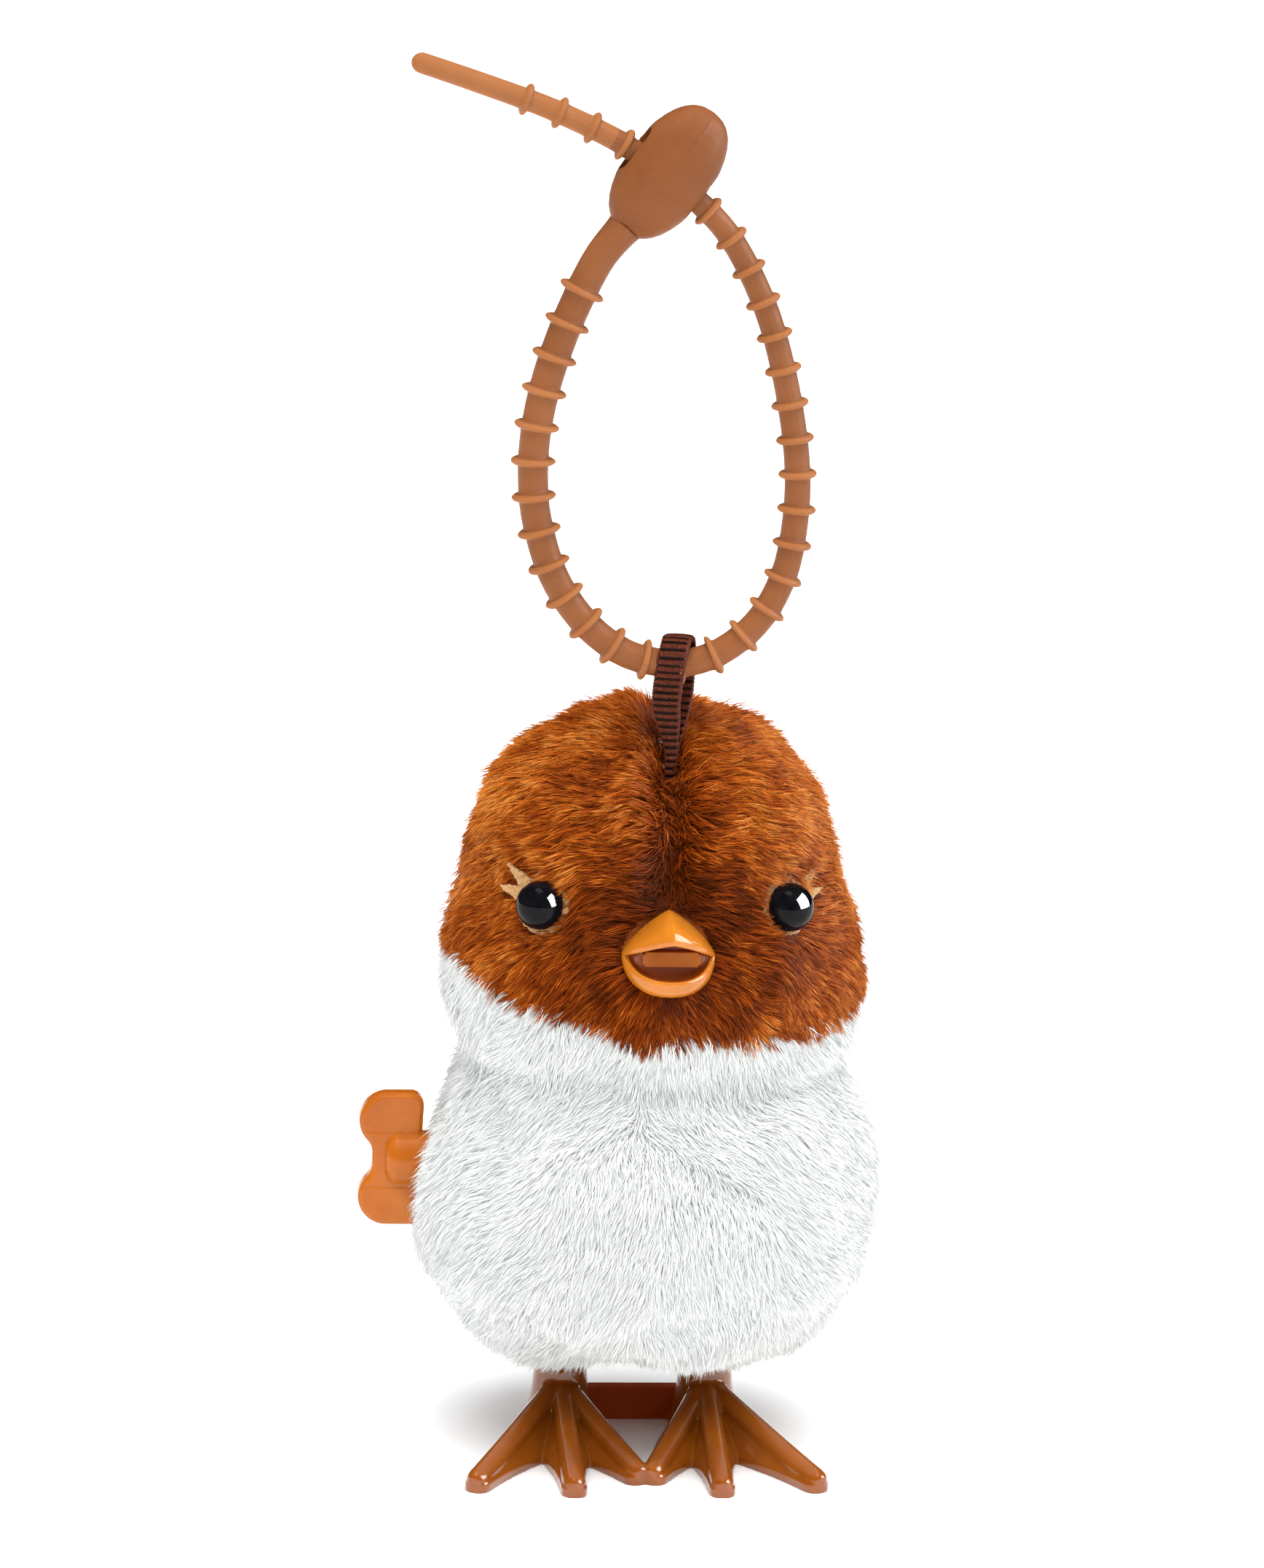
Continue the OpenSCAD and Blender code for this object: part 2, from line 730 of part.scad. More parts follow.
// Upright slice of the skirt that widens towards the floor near the leg
module skirt_slice(s, length) {
    narrow = toe_narrow(s, length);
    w = (toe_r + 0.2) * narrow + 2.5 * exp(-pow(s / 14, 3));
    top = max(toe_edge + 0.1, toe_height(s, length) - 1.2);
    translate([s, 0, 0]) rotate([90, 0, 90]) linear_extrude(eps)
        polygon([[-w, 0], [-w, toe_edge], [-0.8 * narrow, top], [0.8 * narrow, top],
                 [w, toe_edge], [w, 0]]);
}

module toe(side, tip) {
    from = [side * leg_x, -0.8];
    length = norm(tip - from);
    stations = concat([for (i = [0:7]) (length - toe_r) * i / 7],
                      [for (a = [30, 55, 75]) length - toe_r + toe_r * sin(a)]);
    translate([from[0], from[1], 0])
        rotate([0, 0, atan2(tip[1] - from[1], tip[0] - from[0])])
            for (i = [0:len(stations) - 2]) {
                hull() {
                    ridge_slice(stations[i], length);
                    ridge_slice(stations[i + 1], length);
                }
                hull() {
                    skirt_slice(stations[i], length);
                    skirt_slice(stations[i + 1], length);
                }
            }
}

// Ankle: flares into the toes below and carries a grooved collar above
module ankle() {
    r = collar_d / 2;
    rotate_extrude() polygon([[0, 0], [4.6, 0], [4.5, toe_edge], [4.1, 3], [3.75, 5], [3.5, 6.8],
        [r + 0.08, 8.2], [r, 9.1], [r - 0.2, 9.25], [r - 0.2, 9.5], [r, 9.65],
        [r, collar_top - 0.3], [r - 0.3, collar_top], [0, collar_top]]);
}

module feet() {
    color("#b26a24") difference() {
        union() {
            for (s = [-1, 1]) {
                translate([s * leg_x, 0, 0]) ankle();
                toe(s, [s * 0.5, inner_join]);
                toe(s, [s * leg_x, -toe_l]);
                toe(s, [s * outer_toe[0], outer_toe[1]]);
            }
        }
        for (s = [-1, 1]) translate([s * leg_x, 0, 2]) cylinder(r = leg_d / 2 + 0.03, h = 12);
    }
}

// Darker bar that joins the two heels behind the legs
module heel_bar() {
    color("#7d320f") {
        translate([-leg_x - heel_w / 2, bar_y - bar_t / 2, 0])
            cube([2 * leg_x + heel_w, bar_t, bar_h]);
        for (s = [-1, 1]) translate([s * leg_x - heel_w / 2, heel_y, 0])
            cube([heel_w, bar_y - heel_y, bar_h]);
    }
}

module base_plate() {
    color("#8a5a34") difference() {
        union() {
            translate([0, 0, plate_z]) linear_extrude(plate_t) base_outline(0);
            for (s = [-1, 1]) translate([s * base_screw_x, base_screw_y, plate_z])
                cylinder(r = 1.9, h = case_z0 - plate_z);
        }
        for (s = [-1, 1]) {
            translate([s * leg_x - 3.3, -3.4, plate_z - 1]) cube([6.6, 9.8, 4]);
            translate([s * base_screw_x, base_screw_y, plate_z - 1]) cylinder(r = screw_r, h = 8);
        }
    }
}

module base_screws() {
    color("#9a9ea4") for (s = [-1, 1]) translate([s * base_screw_x, base_screw_y, plate_z])
        rotate([180, 0, 0]) screw(5.6);
}

head_plush();
body_plush();
head_stuffing();
body_stuffing();
beak();
beak_tongue();
beak_washer();
eye(-1);  // eye_left
eye(1);  // eye_right
lash(-1);  // lash_left
lash(1);  // lash_right
eye_washer(-1);  // eye_washer_left
eye_washer(1);  // eye_washer_right
ribbon_root();
ribbon_loop();
strap();
strap_lock();
winding_key();
winding_arbor();
mainspring();
drive_gear();
ratchet_wheel();
click_spring();
second_wheel();
second_axle();
crank_wheel();
crank_axle();
crank(-1);  // crank_left
crank(1);  // crank_right
gearbox_left();
gearbox_right();
gearbox_screws();
leg_pivot_pin();
leg_frame();
feet();
heel_bar();
base_plate();
base_screws();
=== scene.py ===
"""Looks of the plush wind-up chick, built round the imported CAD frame.

Lengths are in mm until a mesh is made."""

import math

import bpy
import numpy as np
from mathutils import Matrix, Vector, kdtree


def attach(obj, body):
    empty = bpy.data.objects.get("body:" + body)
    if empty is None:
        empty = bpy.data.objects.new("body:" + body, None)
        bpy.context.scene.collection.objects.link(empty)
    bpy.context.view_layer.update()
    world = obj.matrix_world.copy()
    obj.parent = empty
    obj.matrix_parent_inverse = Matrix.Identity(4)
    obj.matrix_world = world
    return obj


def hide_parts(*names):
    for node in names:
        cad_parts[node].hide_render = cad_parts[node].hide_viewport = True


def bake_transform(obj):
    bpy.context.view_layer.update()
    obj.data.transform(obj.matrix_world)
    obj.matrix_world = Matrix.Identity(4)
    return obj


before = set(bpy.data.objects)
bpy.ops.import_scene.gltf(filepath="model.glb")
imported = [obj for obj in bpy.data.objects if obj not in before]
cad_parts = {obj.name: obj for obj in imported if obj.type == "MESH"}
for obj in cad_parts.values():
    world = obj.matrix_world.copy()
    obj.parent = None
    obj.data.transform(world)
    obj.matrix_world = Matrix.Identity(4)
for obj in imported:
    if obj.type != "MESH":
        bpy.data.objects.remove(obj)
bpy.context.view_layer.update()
MM = 0.001
UP = np.array([0.0, 0.0, 1.0])
SCENE = bpy.context.scene
rng = np.random.default_rng(11)


# ---------------------------------------------------------------- helpers
def srgb(r, g, b):
    """A colour given as 0-255 screen values, as the linear RGBA that sockets take."""
    c = [v / 255 for v in (r, g, b)]
    return tuple(v / 12.92 if v <= 0.04045 else ((v + 0.055) / 1.055) ** 2.4 for v in c) + (1.0,)


def unit(v):
    return v / np.maximum(np.linalg.norm(v, axis=-1, keepdims=True), 1e-9)


def catmull_rom(a, b, c, d, t):
    """Between b (t = 0) and c (t = 1)."""
    return 0.5 * (2 * b + (c - a) * t + (2 * a - 5 * b + 4 * c - d) * t**2 + (3 * b - a - 3 * c + d) * t**3)


def smooth_line(points, step):
    """Catmull-Rom curve through the points, cut about every step mm."""
    p = np.array(points, float)
    p = np.vstack([2 * p[0] - p[1], p, 2 * p[-1] - p[-2]])
    out = []
    for i in range(1, len(p) - 2):
        n = max(2, int(np.linalg.norm(p[i + 1] - p[i]) / step))
        t = np.linspace(0, 1, n, endpoint=False)[:, None]
        a, b, c, d = p[i - 1 : i + 3]
        out.append(catmull_rom(a, b, c, d, t))
    return np.vstack(out + [p[-2][None]])


def arc_length(points):
    return np.concatenate([[0], np.cumsum(np.linalg.norm(np.diff(points, axis=0), axis=1))])


def waves(p, wavelength, seed, count=7):
    """Smooth noise from about -1 to 1: a sum of random sine waves."""
    r = np.random.default_rng(seed)
    total = np.zeros(len(p))
    for _ in range(count):
        k = r.normal(size=3)
        k *= 2 * np.pi / (wavelength * r.uniform(0.7, 1.4)) / np.linalg.norm(k)
        total += np.sin(p @ k + r.uniform(0, 2 * np.pi))
    return total / math.sqrt(count)


def new_mesh(name, points, loops, sizes, slots=None):
    """Mesh from flat numpy arrays: points in mm, corner indices, corners of each face."""
    me = bpy.data.meshes.new(name)
    me.vertices.add(len(points))
    me.vertices.foreach_set("co", (np.asarray(points) * MM).astype(np.float32).ravel())
    me.loops.add(len(loops))
    me.loops.foreach_set("vertex_index", np.asarray(loops, np.int32))
    me.polygons.add(len(sizes))
    starts = np.concatenate([[0], np.cumsum(sizes)[:-1]])
    me.polygons.foreach_set("loop_start", starts.astype(np.int32))
    if slots is not None:
        me.polygons.foreach_set("material_index", np.asarray(slots, np.int32))
    me.polygons.foreach_set("use_smooth", np.ones(len(sizes), bool))
    me.update(calc_edges=True)
    return me


def new_object(name, me, materials):
    obj = bpy.data.objects.new(name, me)
    SCENE.collection.objects.link(obj)
    index = np.zeros(len(me.polygons), np.int32)
    me.polygons.foreach_get("material_index", index)
    me.materials.clear()
    for m in materials:
        me.materials.append(m)
    me.polygons.foreach_set("material_index", np.minimum(index, len(materials) - 1))
    return obj


def piece(name, me, materials, body, replaces=()):
    obj = new_object(name, me, materials)
    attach(obj, body)
    if replaces:
        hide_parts(*replaces)
    return obj


def grid_faces(rows, cols):
    """Quads of a grid of rows x cols points whose last column joins the first."""
    i, j = np.meshgrid(np.arange(rows - 1), np.arange(cols), indexing="ij")
    k = (j + 1) % cols
    return np.stack([i * cols + j, i * cols + k, (i + 1) * cols + k, (i + 1) * cols + j], -1).reshape(-1, 4)


def rings_mesh(name, rings, flip=False):
    """Closed mesh through a stack of rings (rows x cols x 3), with flat ends."""
    rows, cols = rings.shape[:2]
    quads = grid_faces(rows, cols)
    ends = [np.arange(cols)[::-1], np.arange(cols) + (rows - 1) * cols]
    if flip:
        quads = quads[:, ::-1]
        ends = [e[::-1] for e in ends]
    loops = np.concatenate([quads.ravel(), *ends])
    return new_mesh(name, rings.reshape(-1, 3), loops, [4] * len(quads) + [cols, cols])


def vertex_array(me):
    co = np.zeros(len(me.vertices) * 3, np.float32)
    me.vertices.foreach_get("co", co)
    return co.reshape(-1, 3).astype(float) / MM


def set_vertices(me, co):
    me.vertices.foreach_set("co", (co * MM).astype(np.float32).ravel())
    me.update()


def normal_array(me):
    n = np.zeros(len(me.vertices) * 3, np.float32)
    me.vertices.foreach_get("normal", n)
    return n.reshape(-1, 3).astype(float)


# ---------------------------------------------------------------- camera
AZIMUTH, ELEVATION, ROLL = (math.radians(v) for v in (-5.5, 13.0, 1.8))
AIM = Vector((-2.4, 0, 84)) * MM
DISTANCE = 0.9
FOCAL_PIXELS = 10000
LONG_SIDE = 2153


def make_camera():
    level = math.cos(ELEVATION)
    back = Vector((math.sin(AZIMUTH) * level, -math.cos(AZIMUTH) * level, math.sin(ELEVATION)))
    right = Vector((math.cos(AZIMUTH), math.sin(AZIMUTH), 0))
    up = back.cross(right)
    x = right * math.cos(ROLL) + up * math.sin(ROLL)
    y = up * math.cos(ROLL) - right * math.sin(ROLL)
    data = bpy.data.cameras.new("camera")
    data.lens = FOCAL_PIXELS / LONG_SIDE * data.sensor_width
    data.clip_start, data.clip_end = 0.05, 20
    cam = bpy.data.objects.new("camera", data)
    cam.matrix_world = Matrix.Translation(AIM + back * DISTANCE) @ Matrix((x, y, back)).transposed().to_4x4()
    SCENE.collection.objects.link(cam)
    SCENE.camera = cam


make_camera()


# ---------------------------------------------------------------- materials
def add(tree, kind, inputs=None, **props):
    node = tree.nodes.new("ShaderNode" + kind)
    for k, v in props.items():
        setattr(node, k, v)
    for k, v in (inputs or {}).items():
        if isinstance(v, bpy.types.NodeSocket):
            tree.links.new(v, node.inputs[k])
        else:
            node.inputs[k].default_value = v
    return node


def object_coords(tree, stretch=None):
    out = add(tree, "TexCoord").outputs["Object"]
    if stretch is not None:
        out = add(tree, "Mapping", {"Vector": out, "Scale": stretch}).outputs[0]
    return out


def noise(tree, size, detail=3.0, stretch=None, distortion=0.0):
    """Noise whose features are about size mm across."""
    return add(tree, "TexNoise", {"Vector": object_coords(tree, stretch), "Scale": 1 / (size * MM),
                                  "Detail": detail, "Distortion": distortion}).outputs[0]


def ramp(tree, factor, stops):
    node = add(tree, "ValToRGB", {"Fac": factor})
    elements = node.color_ramp.elements
    while len(elements) < len(stops):
        elements.new(0.5)
    for e, (at, colour) in zip(elements, stops):
        e.position, e.color = at, colour
    return node.outputs[0]


def to_range(tree, value, low, high):
    """Noise from 0.3 to 0.7 spread over low to high."""
    ends = {"Value": value, "From Min": 0.3, "From Max": 0.7, "To Min": low, "To Max": high}
    return add(tree, "MapRange", ends).outputs[0]


def combine(tree, how, a, b):
    return add(tree, "Math", {0: a, 1: b}, operation=how).outputs[0]


def shader_of(name):
    m = bpy.data.materials.new(name)
    m.use_nodes = True
    return m, m.node_tree, m.node_tree.nodes["Principled BSDF"]


def bump(tree, shader, height, depth):
    """depth is the height in mm that a value of 1 stands for."""
    out = add(tree, "Bump", {"Height": height, "Distance": depth * MM, "Strength": 1.0}).outputs[0]
    tree.links.new(out, shader.inputs["Normal"])


def set_values(shader, values):
    for socket, value in values.items():
        shader.inputs[socket].default_value = value


def colour_by(tree, shader, factor, stops):
    tree.links.new(ramp(tree, factor, stops), shader.inputs["Base Color"])


def gloss_by(tree, shader, factor, low, high):
    tree.links.new(to_range(tree, factor, low, high), shader.inputs["Roughness"])


def moulded_plastic(name, dark, mid, light, rough, glow=0.0, glow_mm=1.0, grain=0.25, coat=0.0, flow=7.0,
                    gloss_level=0.5):
    """Injection-moulded plastic: slow colour flow marks, uneven gloss and a fine grain."""
    m, tree, shader = shader_of(name)
    colour_by(tree, shader, noise(tree, flow, 4, distortion=0.6), [(0.3, dark), (0.5, mid), (0.72, light)])
    gloss_by(tree, shader, noise(tree, 1.3, 3), rough * 0.8, rough * 1.25)
    fine = combine(tree, "ADD", noise(tree, 0.35, 2), combine(tree, "MULTIPLY", noise(tree, 3.0, 2), 2.0))
    bump(tree, shader, fine, 0.02 * grain / 0.25)
    set_values(shader, {"Subsurface Weight": glow, "Subsurface Radius": (1.0, 0.42, 0.12),
                        "Subsurface Scale": glow_mm * MM, "Coat Weight": coat, "Coat Roughness": 0.08,
                        "Specular IOR Level": gloss_level})
    return m


def metal(name, base, rough, brushed=(1, 1, 1)):
    """Drawn or stamped metal with fine lines; brushed stretches them along the axis of its small value."""
    m, tree, shader = shader_of(name)
    lines = noise(tree, 0.5, 4, stretch=brushed)
    tone = tuple(v * 0.8 for v in base[:3]) + (1.0,)
    colour_by(tree, shader, lines, [(0.35, tone), (0.65, base)])
    gloss_by(tree, shader, lines, rough * 0.7, rough * 1.3)
    bump(tree, shader, lines, 0.01)
    set_values(shader, {"Metallic": 1.0})
    return m


def fabric(name, dark, light, size, depth, sheen=0.2):
    """Short-fibred cloth or stuffing: matted noise at two scales."""
    m, tree, shader = shader_of(name)
    matted = noise(tree, size, 5, distortion=1.2)
    colour_by(tree, shader, matted, [(0.32, dark), (0.68, light)])
    height = combine(tree, "ADD", matted, combine(tree, "MULTIPLY", noise(tree, size * 5, 3), 1.5))
    bump(tree, shader, height, depth)
    set_values(shader, {"Roughness": 0.9, "Sheen Weight": sheen, "Sheen Roughness": 0.5})
    return m


def strand_fibre(name, colour, rough, gloss):
    """One tone of pile. Plain values only: the detail is in the strands themselves."""
    m, _, shader = shader_of(name)
    set_values(shader, {"Base Color": colour, "Roughness": rough, "Specular IOR Level": gloss})
    return m


AMBER = moulded_plastic("amber_plastic", srgb(166, 86, 14), srgb(176, 94, 18), srgb(186, 104, 24), 0.26,
                        0.2, 1.4, gloss_level=0.3)
BEAK = moulded_plastic("beak_plastic", srgb(176, 102, 22), srgb(188, 112, 28), srgb(198, 122, 36), 0.22,
                       0.3, 1.6, coat=0.4, gloss_level=0.3)
CARAMEL = moulded_plastic("caramel_plastic", srgb(128, 64, 10), srgb(140, 72, 12), srgb(154, 82, 16), 0.2,
                          0.3, 2.4, grain=0.08, coat=0.5, flow=12, gloss_level=0.4)
LEG = moulded_plastic("leg_plastic", srgb(128, 64, 24), srgb(142, 74, 30), srgb(154, 84, 38), 0.5, 0.1,
                      gloss_level=0.25)
HEEL = moulded_plastic("heel_plastic", srgb(172, 66, 12), srgb(180, 72, 14), srgb(188, 80, 18), 0.4, 0.15,
                       grain=0.08, flow=12, gloss_level=0.2)
# Darker copy of the beak plastic for the inside of the mouth: painted shade in the mouth's hollow.
THROAT_SHADE = moulded_plastic("throat_shade_plastic", srgb(132, 56, 10), srgb(148, 66, 14), srgb(164, 78, 20), 0.35,
                         0.2)
MOUTH = moulded_plastic("mouth_plastic", srgb(152, 80, 20), srgb(166, 90, 24), srgb(178, 100, 30), 0.4,
                        0.4, 1.5, gloss_level=0.15)
SILICONE = moulded_plastic("silicone", srgb(124, 74, 40), srgb(132, 79, 44), srgb(140, 85, 48), 0.5, 0.15,
                           1.0, grain=0.3, flow=14, gloss_level=0.15)
# Lighter copy of the silicone for the strap's rings and tail end: painted light from above and through the
# thin silicone, not a colour of its own.
SILICONE_LIT = moulded_plastic("silicone_painted_light", srgb(146, 91, 51), srgb(151, 95, 54), srgb(157, 100, 58),
                                0.5, 0.3, 1.0, grain=0.3, flow=14, gloss_level=0.15)
LOCK = moulded_plastic("lock_silicone", srgb(116, 66, 34), srgb(124, 72, 37), srgb(132, 78, 42), 0.5, 0.15,
                       1.0, grain=0.3, flow=12, gloss_level=0.15)
GEAR = moulded_plastic("gear_plastic", srgb(222, 214, 190), srgb(232, 225, 203), srgb(240, 235, 218), 0.42,
                       0.1)
CASE = moulded_plastic("case_plastic", srgb(52, 98, 140), srgb(62, 110, 156), srgb(74, 124, 170), 0.4)
BASE = moulded_plastic("base_plastic", srgb(120, 72, 38), srgb(138, 86, 48), srgb(150, 98, 58), 0.5)
WASHER = moulded_plastic("washer_plastic", srgb(226, 222, 210), srgb(236, 232, 222), srgb(244, 240, 232),
                         0.5)
STEEL = metal("steel", (0.56, 0.57, 0.59, 1), 0.3, (0.15, 1, 1))
SPRING = metal("spring_steel", (0.2, 0.21, 0.23, 1), 0.35, (0.2, 1, 1))
BRASS = metal("brass_leaf", (0.72, 0.5, 0.18, 1), 0.32)
STUFFING = fabric("stuffing", srgb(226, 224, 214), srgb(246, 244, 238), 1.2, 0.5)
FELT = fabric("felt", srgb(160, 112, 60), srgb(206, 162, 104), 0.22, 0.12, 0.4)
CAP_BACKING = fabric("cap_backing", srgb(120, 54, 10), srgb(168, 82, 20), 0.5, 0.3, 0.0)
BODY_BACKING = fabric("body_backing", srgb(196, 197, 192), srgb(226, 227, 224), 0.5, 0.3, 0.1)


def eye_material():
    m, tree, shader = shader_of("eye_black")
    blacks = [(0.3, (0.002, 0.002, 0.003, 1)), (0.7, (0.006, 0.006, 0.007, 1))]
    colour_by(tree, shader, noise(tree, 1.5, 2), blacks)
    gloss_by(tree, shader, noise(tree, 0.8, 2), 0.03, 0.07)
    set_values(shader, {"Specular IOR Level": 0.1})
    return m


def ribbon_material(name, dark, mid, light):
    """Dark maroon grosgrain: fine warp threads along the ribbon and a coppery sheen."""
    m, tree, shader = shader_of(name)
    threads = noise(tree, 0.16, 3)
    colour_by(tree, shader, threads, [(0.3, dark), (0.55, mid), (0.75, light)])
    bump(tree, shader, threads, 0.05)
    set_values(shader, {"Roughness": 0.5, "Specular IOR Level": 0.15, "Sheen Weight": 0.12,
                        "Sheen Tint": srgb(230, 120, 60)})
    return m


EYE = eye_material()
GROSGRAIN = ribbon_material("grosgrain", srgb(52, 18, 9), srgb(78, 31, 16), srgb(132, 64, 34))
# Near-black copy of the ribbon for the hollows between its ribs: painted shade in the grooves.
GROSGRAIN_GROOVE_SHADE = ribbon_material("grosgrain_groove_shade", srgb(12, 3, 1), srgb(20, 6, 3), srgb(32, 10, 5))

# ---------------------------------------------------------------- strap (the one cord)
STRAP_Y = -13.0
ROUTE = [(-6.5, 155.5), (-9.3, 152), (-11.6, 147.5), (-13.8, 142), (-15.6, 136), (-16.7, 129.5), (-16.7, 123),
         (-15.8, 118), (-14, 112.8), (-11.5, 108.8), (-8.5, 105.6), (-4.8, 103.2), (-1, 102.2), (1.4, 102),
         (5.4, 103), (9, 105.3), (11.7, 108.3), (13.6, 112), (14.7, 116), (15.3, 122), (15.1, 127.5),
         (14.2, 133.3), (12.9, 139), (11.2, 144.5), (9, 149.5), (6.3, 154.1), (3.1, 157.7), (-1.4, 161.3),
         (-5.7, 164.5), (-9.5, 166.6), (-15.6, 169.3), (-20, 170.9), (-26, 172.9), (-32.6, 175)]
RING_PITCH = 4.33
FIRST_RING = 9.4
LAST_RING = 14.5
RING_HALF = 0.46
RING_CUTS = np.array([-1.35, -1.05, -0.9, -0.7, -0.45, -0.2, 0, 0.2, 0.45, 0.7, 0.9, 1.05, 1.35])
TAIL_CAP = 1.35
THICK_END, THIN_END = 1.98, 1.26
RING_HEIGHT, RING_LOSS = 0.92, 0.28
PAINTED_LIT_TAIL = 26
LOCK_C = np.array([-1.6, STRAP_Y, 162.1])
LOCK_TILT = math.radians(36)


def strap_piece():
    """Tapered strap with thin raised rings, a domed tail end and a fine parting line in front."""
    line = smooth_line([(x, STRAP_Y, z) for x, z in ROUTE], 1.2)
    s = arc_length(line)
    total = s[-1]
    count = int(round((total - FIRST_RING - LAST_RING) / RING_PITCH))
    beads = FIRST_RING + np.arange(count + 1) * (total - FIRST_RING - LAST_RING) / count
    fine = [np.linspace(0, total, int(total / 0.55))] + [b + RING_HALF * RING_CUTS for b in beads]
    fine += [total - TAIL_CAP * (1 - np.cos(np.linspace(0, 1, 9)[1:] * math.pi / 2))]
    at = np.unique(np.round(np.concatenate(fine), 3))
    at = at[np.concatenate([[True], np.diff(at) > 0.02])]
    x, z = np.interp(at, s, line[:, 0]), np.interp(at, s, line[:, 2])
    tangent = unit(np.stack([np.gradient(x, at), np.gradient(z, at)], -1))
    smoothed = [np.convolve(np.pad(tangent[:, k], 2, mode="edge"), np.ones(5) / 5, "valid") for k in (0, 1)]
    tangent = unit(np.stack(smoothed, -1))
    t = at / total
    bead = np.zeros(len(at))
    for b in beads:
        u = np.abs(at - b) / RING_HALF
        ring = np.where(u < 1, np.sqrt(np.maximum(0, 1 - u**2)), 0)
        bead = np.maximum(bead, ring + 0.10 * np.exp(-(((u - 1.1) / 0.25) ** 2)))
    radius = THICK_END - (THICK_END - THIN_END) * t + bead * (RING_HEIGHT - RING_LOSS * t)
    radius = radius + 0.25 * np.exp(-at / 1.6)
    end = np.clip((at - (total - TAIL_CAP)) / TAIL_CAP, 0, 1)
    radius = radius * np.sqrt(np.maximum(1 - end**2, 0.004))
    near_seam = [261.0, 266.0, 268.6, 271.4, 274.0, 279.0]
    angles = np.sort(np.concatenate([np.delete(np.arange(40) * 9.0, [29, 31]), near_seam]))
    a = np.radians(angles)
    seam = 0.045 * (np.abs(angles - 270) < 2) * (1 - end[:, None])
    r = radius[:, None] + seam
    side = r * np.cos(a)
    across, up = x[:, None] - tangent[:, 1:] * side, z[:, None] + tangent[:, :1] * side
    rings = np.stack([across, STRAP_Y + r * np.sin(a), up], -1)
    me = rings_mesh("silicone_strap", rings)
    # Rings and the last stretch of the tail take the lighter silicone: painted light from above and through
    # the thin silicone.
    painted_lit = (bead > 0.35) | (at > total - PAINTED_LIT_TAIL)
    slots = np.repeat((painted_lit[1:] & painted_lit[:-1]).astype(np.int32), rings.shape[1])
    me.polygons.foreach_set("material_index", np.concatenate([slots, [0, 1]]))
    obj = piece("silicone_strap", me, [SILICONE, SILICONE_LIT], "strap", ["strap"])
    return obj, line * MM, total


# ---------------------------------------------------------------- pieces re-made from a CAD solid
KEY_Z = 36


def moulded(node, name, voxel, rounds, material, body, relief=None):
    """A finely meshed copy of a CAD solid with its edges softened the way a mould leaves them."""
    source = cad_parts[node]
    obj = bpy.data.objects.new(name, source.data.copy())
    SCENE.collection.objects.link(obj)
    remesh = obj.modifiers.new("remesh", "REMESH")
    remesh.mode, remesh.voxel_size, remesh.use_smooth_shade = "VOXEL", voxel * MM, True
    soften = obj.modifiers.new("soften", "SMOOTH")
    soften.factor, soften.iterations = 0.5, rounds
    bpy.context.view_layer.update()
    me = bpy.data.meshes.new_from_object(obj.evaluated_get(bpy.context.evaluated_depsgraph_get()))
    me.name = name
    bpy.data.objects.remove(obj)
    me.polygons.foreach_set("use_smooth", np.ones(len(me.polygons), bool))
    if relief:
        set_vertices(me, relief(vertex_array(me), normal_array(me)))
    return piece(name, me, [material], body, [node])


def lock_relief(co, n):
    """Thin parting line along the lock's middle."""
    side = (co - LOCK_C) @ np.array([math.cos(LOCK_TILT), 0, -math.sin(LOCK_TILT)])
    return co + n * (0.09 * np.exp(-((side / 0.14) ** 2)) * (np.abs(n[:, 1]) > 0.2))[:, None]


def key_relief(co, n):
    """Two fine sunk lines across the bow, one above and one below the hub."""
    plate = (co[:, 0] < -27.0) & (np.abs(n[:, 1]) > 0.8)
    line = np.exp(-(((np.abs(co[:, 2] - KEY_Z) - 3.55) / 0.12) ** 2))
    return co - n * (0.07 * line * plate)[:, None]


strap, strap_path, strap_length = strap_piece()
lock = moulded("strap_lock", "strap_bean_lock", 0.16, 5, LOCK, "strap", lock_relief)

# ---------------------------------------------------------------- cover surface
BELLY_R, HEAD_R, DEPTH = 27.5, 25.0, 0.92
BODY_ROWS = [(13, 0.56), (14.3, 0.69), (16.5, 0.78), (20, 0.885), (23.5, 0.955), (27.5, 0.99), (32, 1),
             (36.5, 0.985), (40.5, 0.955), (44, 0.905), (47, 0.86), (50.5, 0.83)]
HEAD_ROWS = [(54, 0.95), (57.5, 0.995), (61.5, 1), (65.5, 0.96), (69.5, 0.92), (74, 0.875), (79, 0.83),
             (83.5, 0.76), (87, 0.65), (90, 0.5), (92.3, 0.32), (93.6, 0.06)]
PROFILE = smooth_line([(z, r * BELLY_R) for z, r in BODY_ROWS] + [(z, r * HEAD_R) for z, r in HEAD_ROWS], 0.5)
SQUARE = 2 / 2.25
COLS = 288


def cover_point(z, a):
    """Point of the cover at height z and angle a (radians, 0 along +X)."""
    rx = np.interp(z, PROFILE[:, 0], PROFILE[:, 1])
    cx = 0.3 + np.exp(-(((z - 42) / 15) ** 2))
    cy = np.interp(z, [49, 55], [-0.5, -1.0])
    c, s = np.cos(a), np.sin(a)
    x = cx + rx * np.sign(c) * np.abs(c) ** SQUARE
    y = cy + rx * DEPTH * np.sign(s) * np.abs(s) ** SQUARE
    return np.stack([x, y, z + 0 * a], -1)


def border_height(p):
    """Height of the edge of the brown cap on the ray through p."""
    a = np.degrees(np.arctan2(p[:, 0], -p[:, 1]))
    z = 57.6 + 4.6 * (1 - np.cos(np.radians(a))) - 2.8 * np.sin(np.radians(a))
    z -= 1.8 * np.exp(-(((a + 5) / 9) ** 2))
    return 60 + (z - 60) * np.hypot(p[:, 0], p[:, 1]) / HEAD_R


def gauss(v, width):
    return np.exp(-((v / width) ** 2))


SEAM_X = 1.0


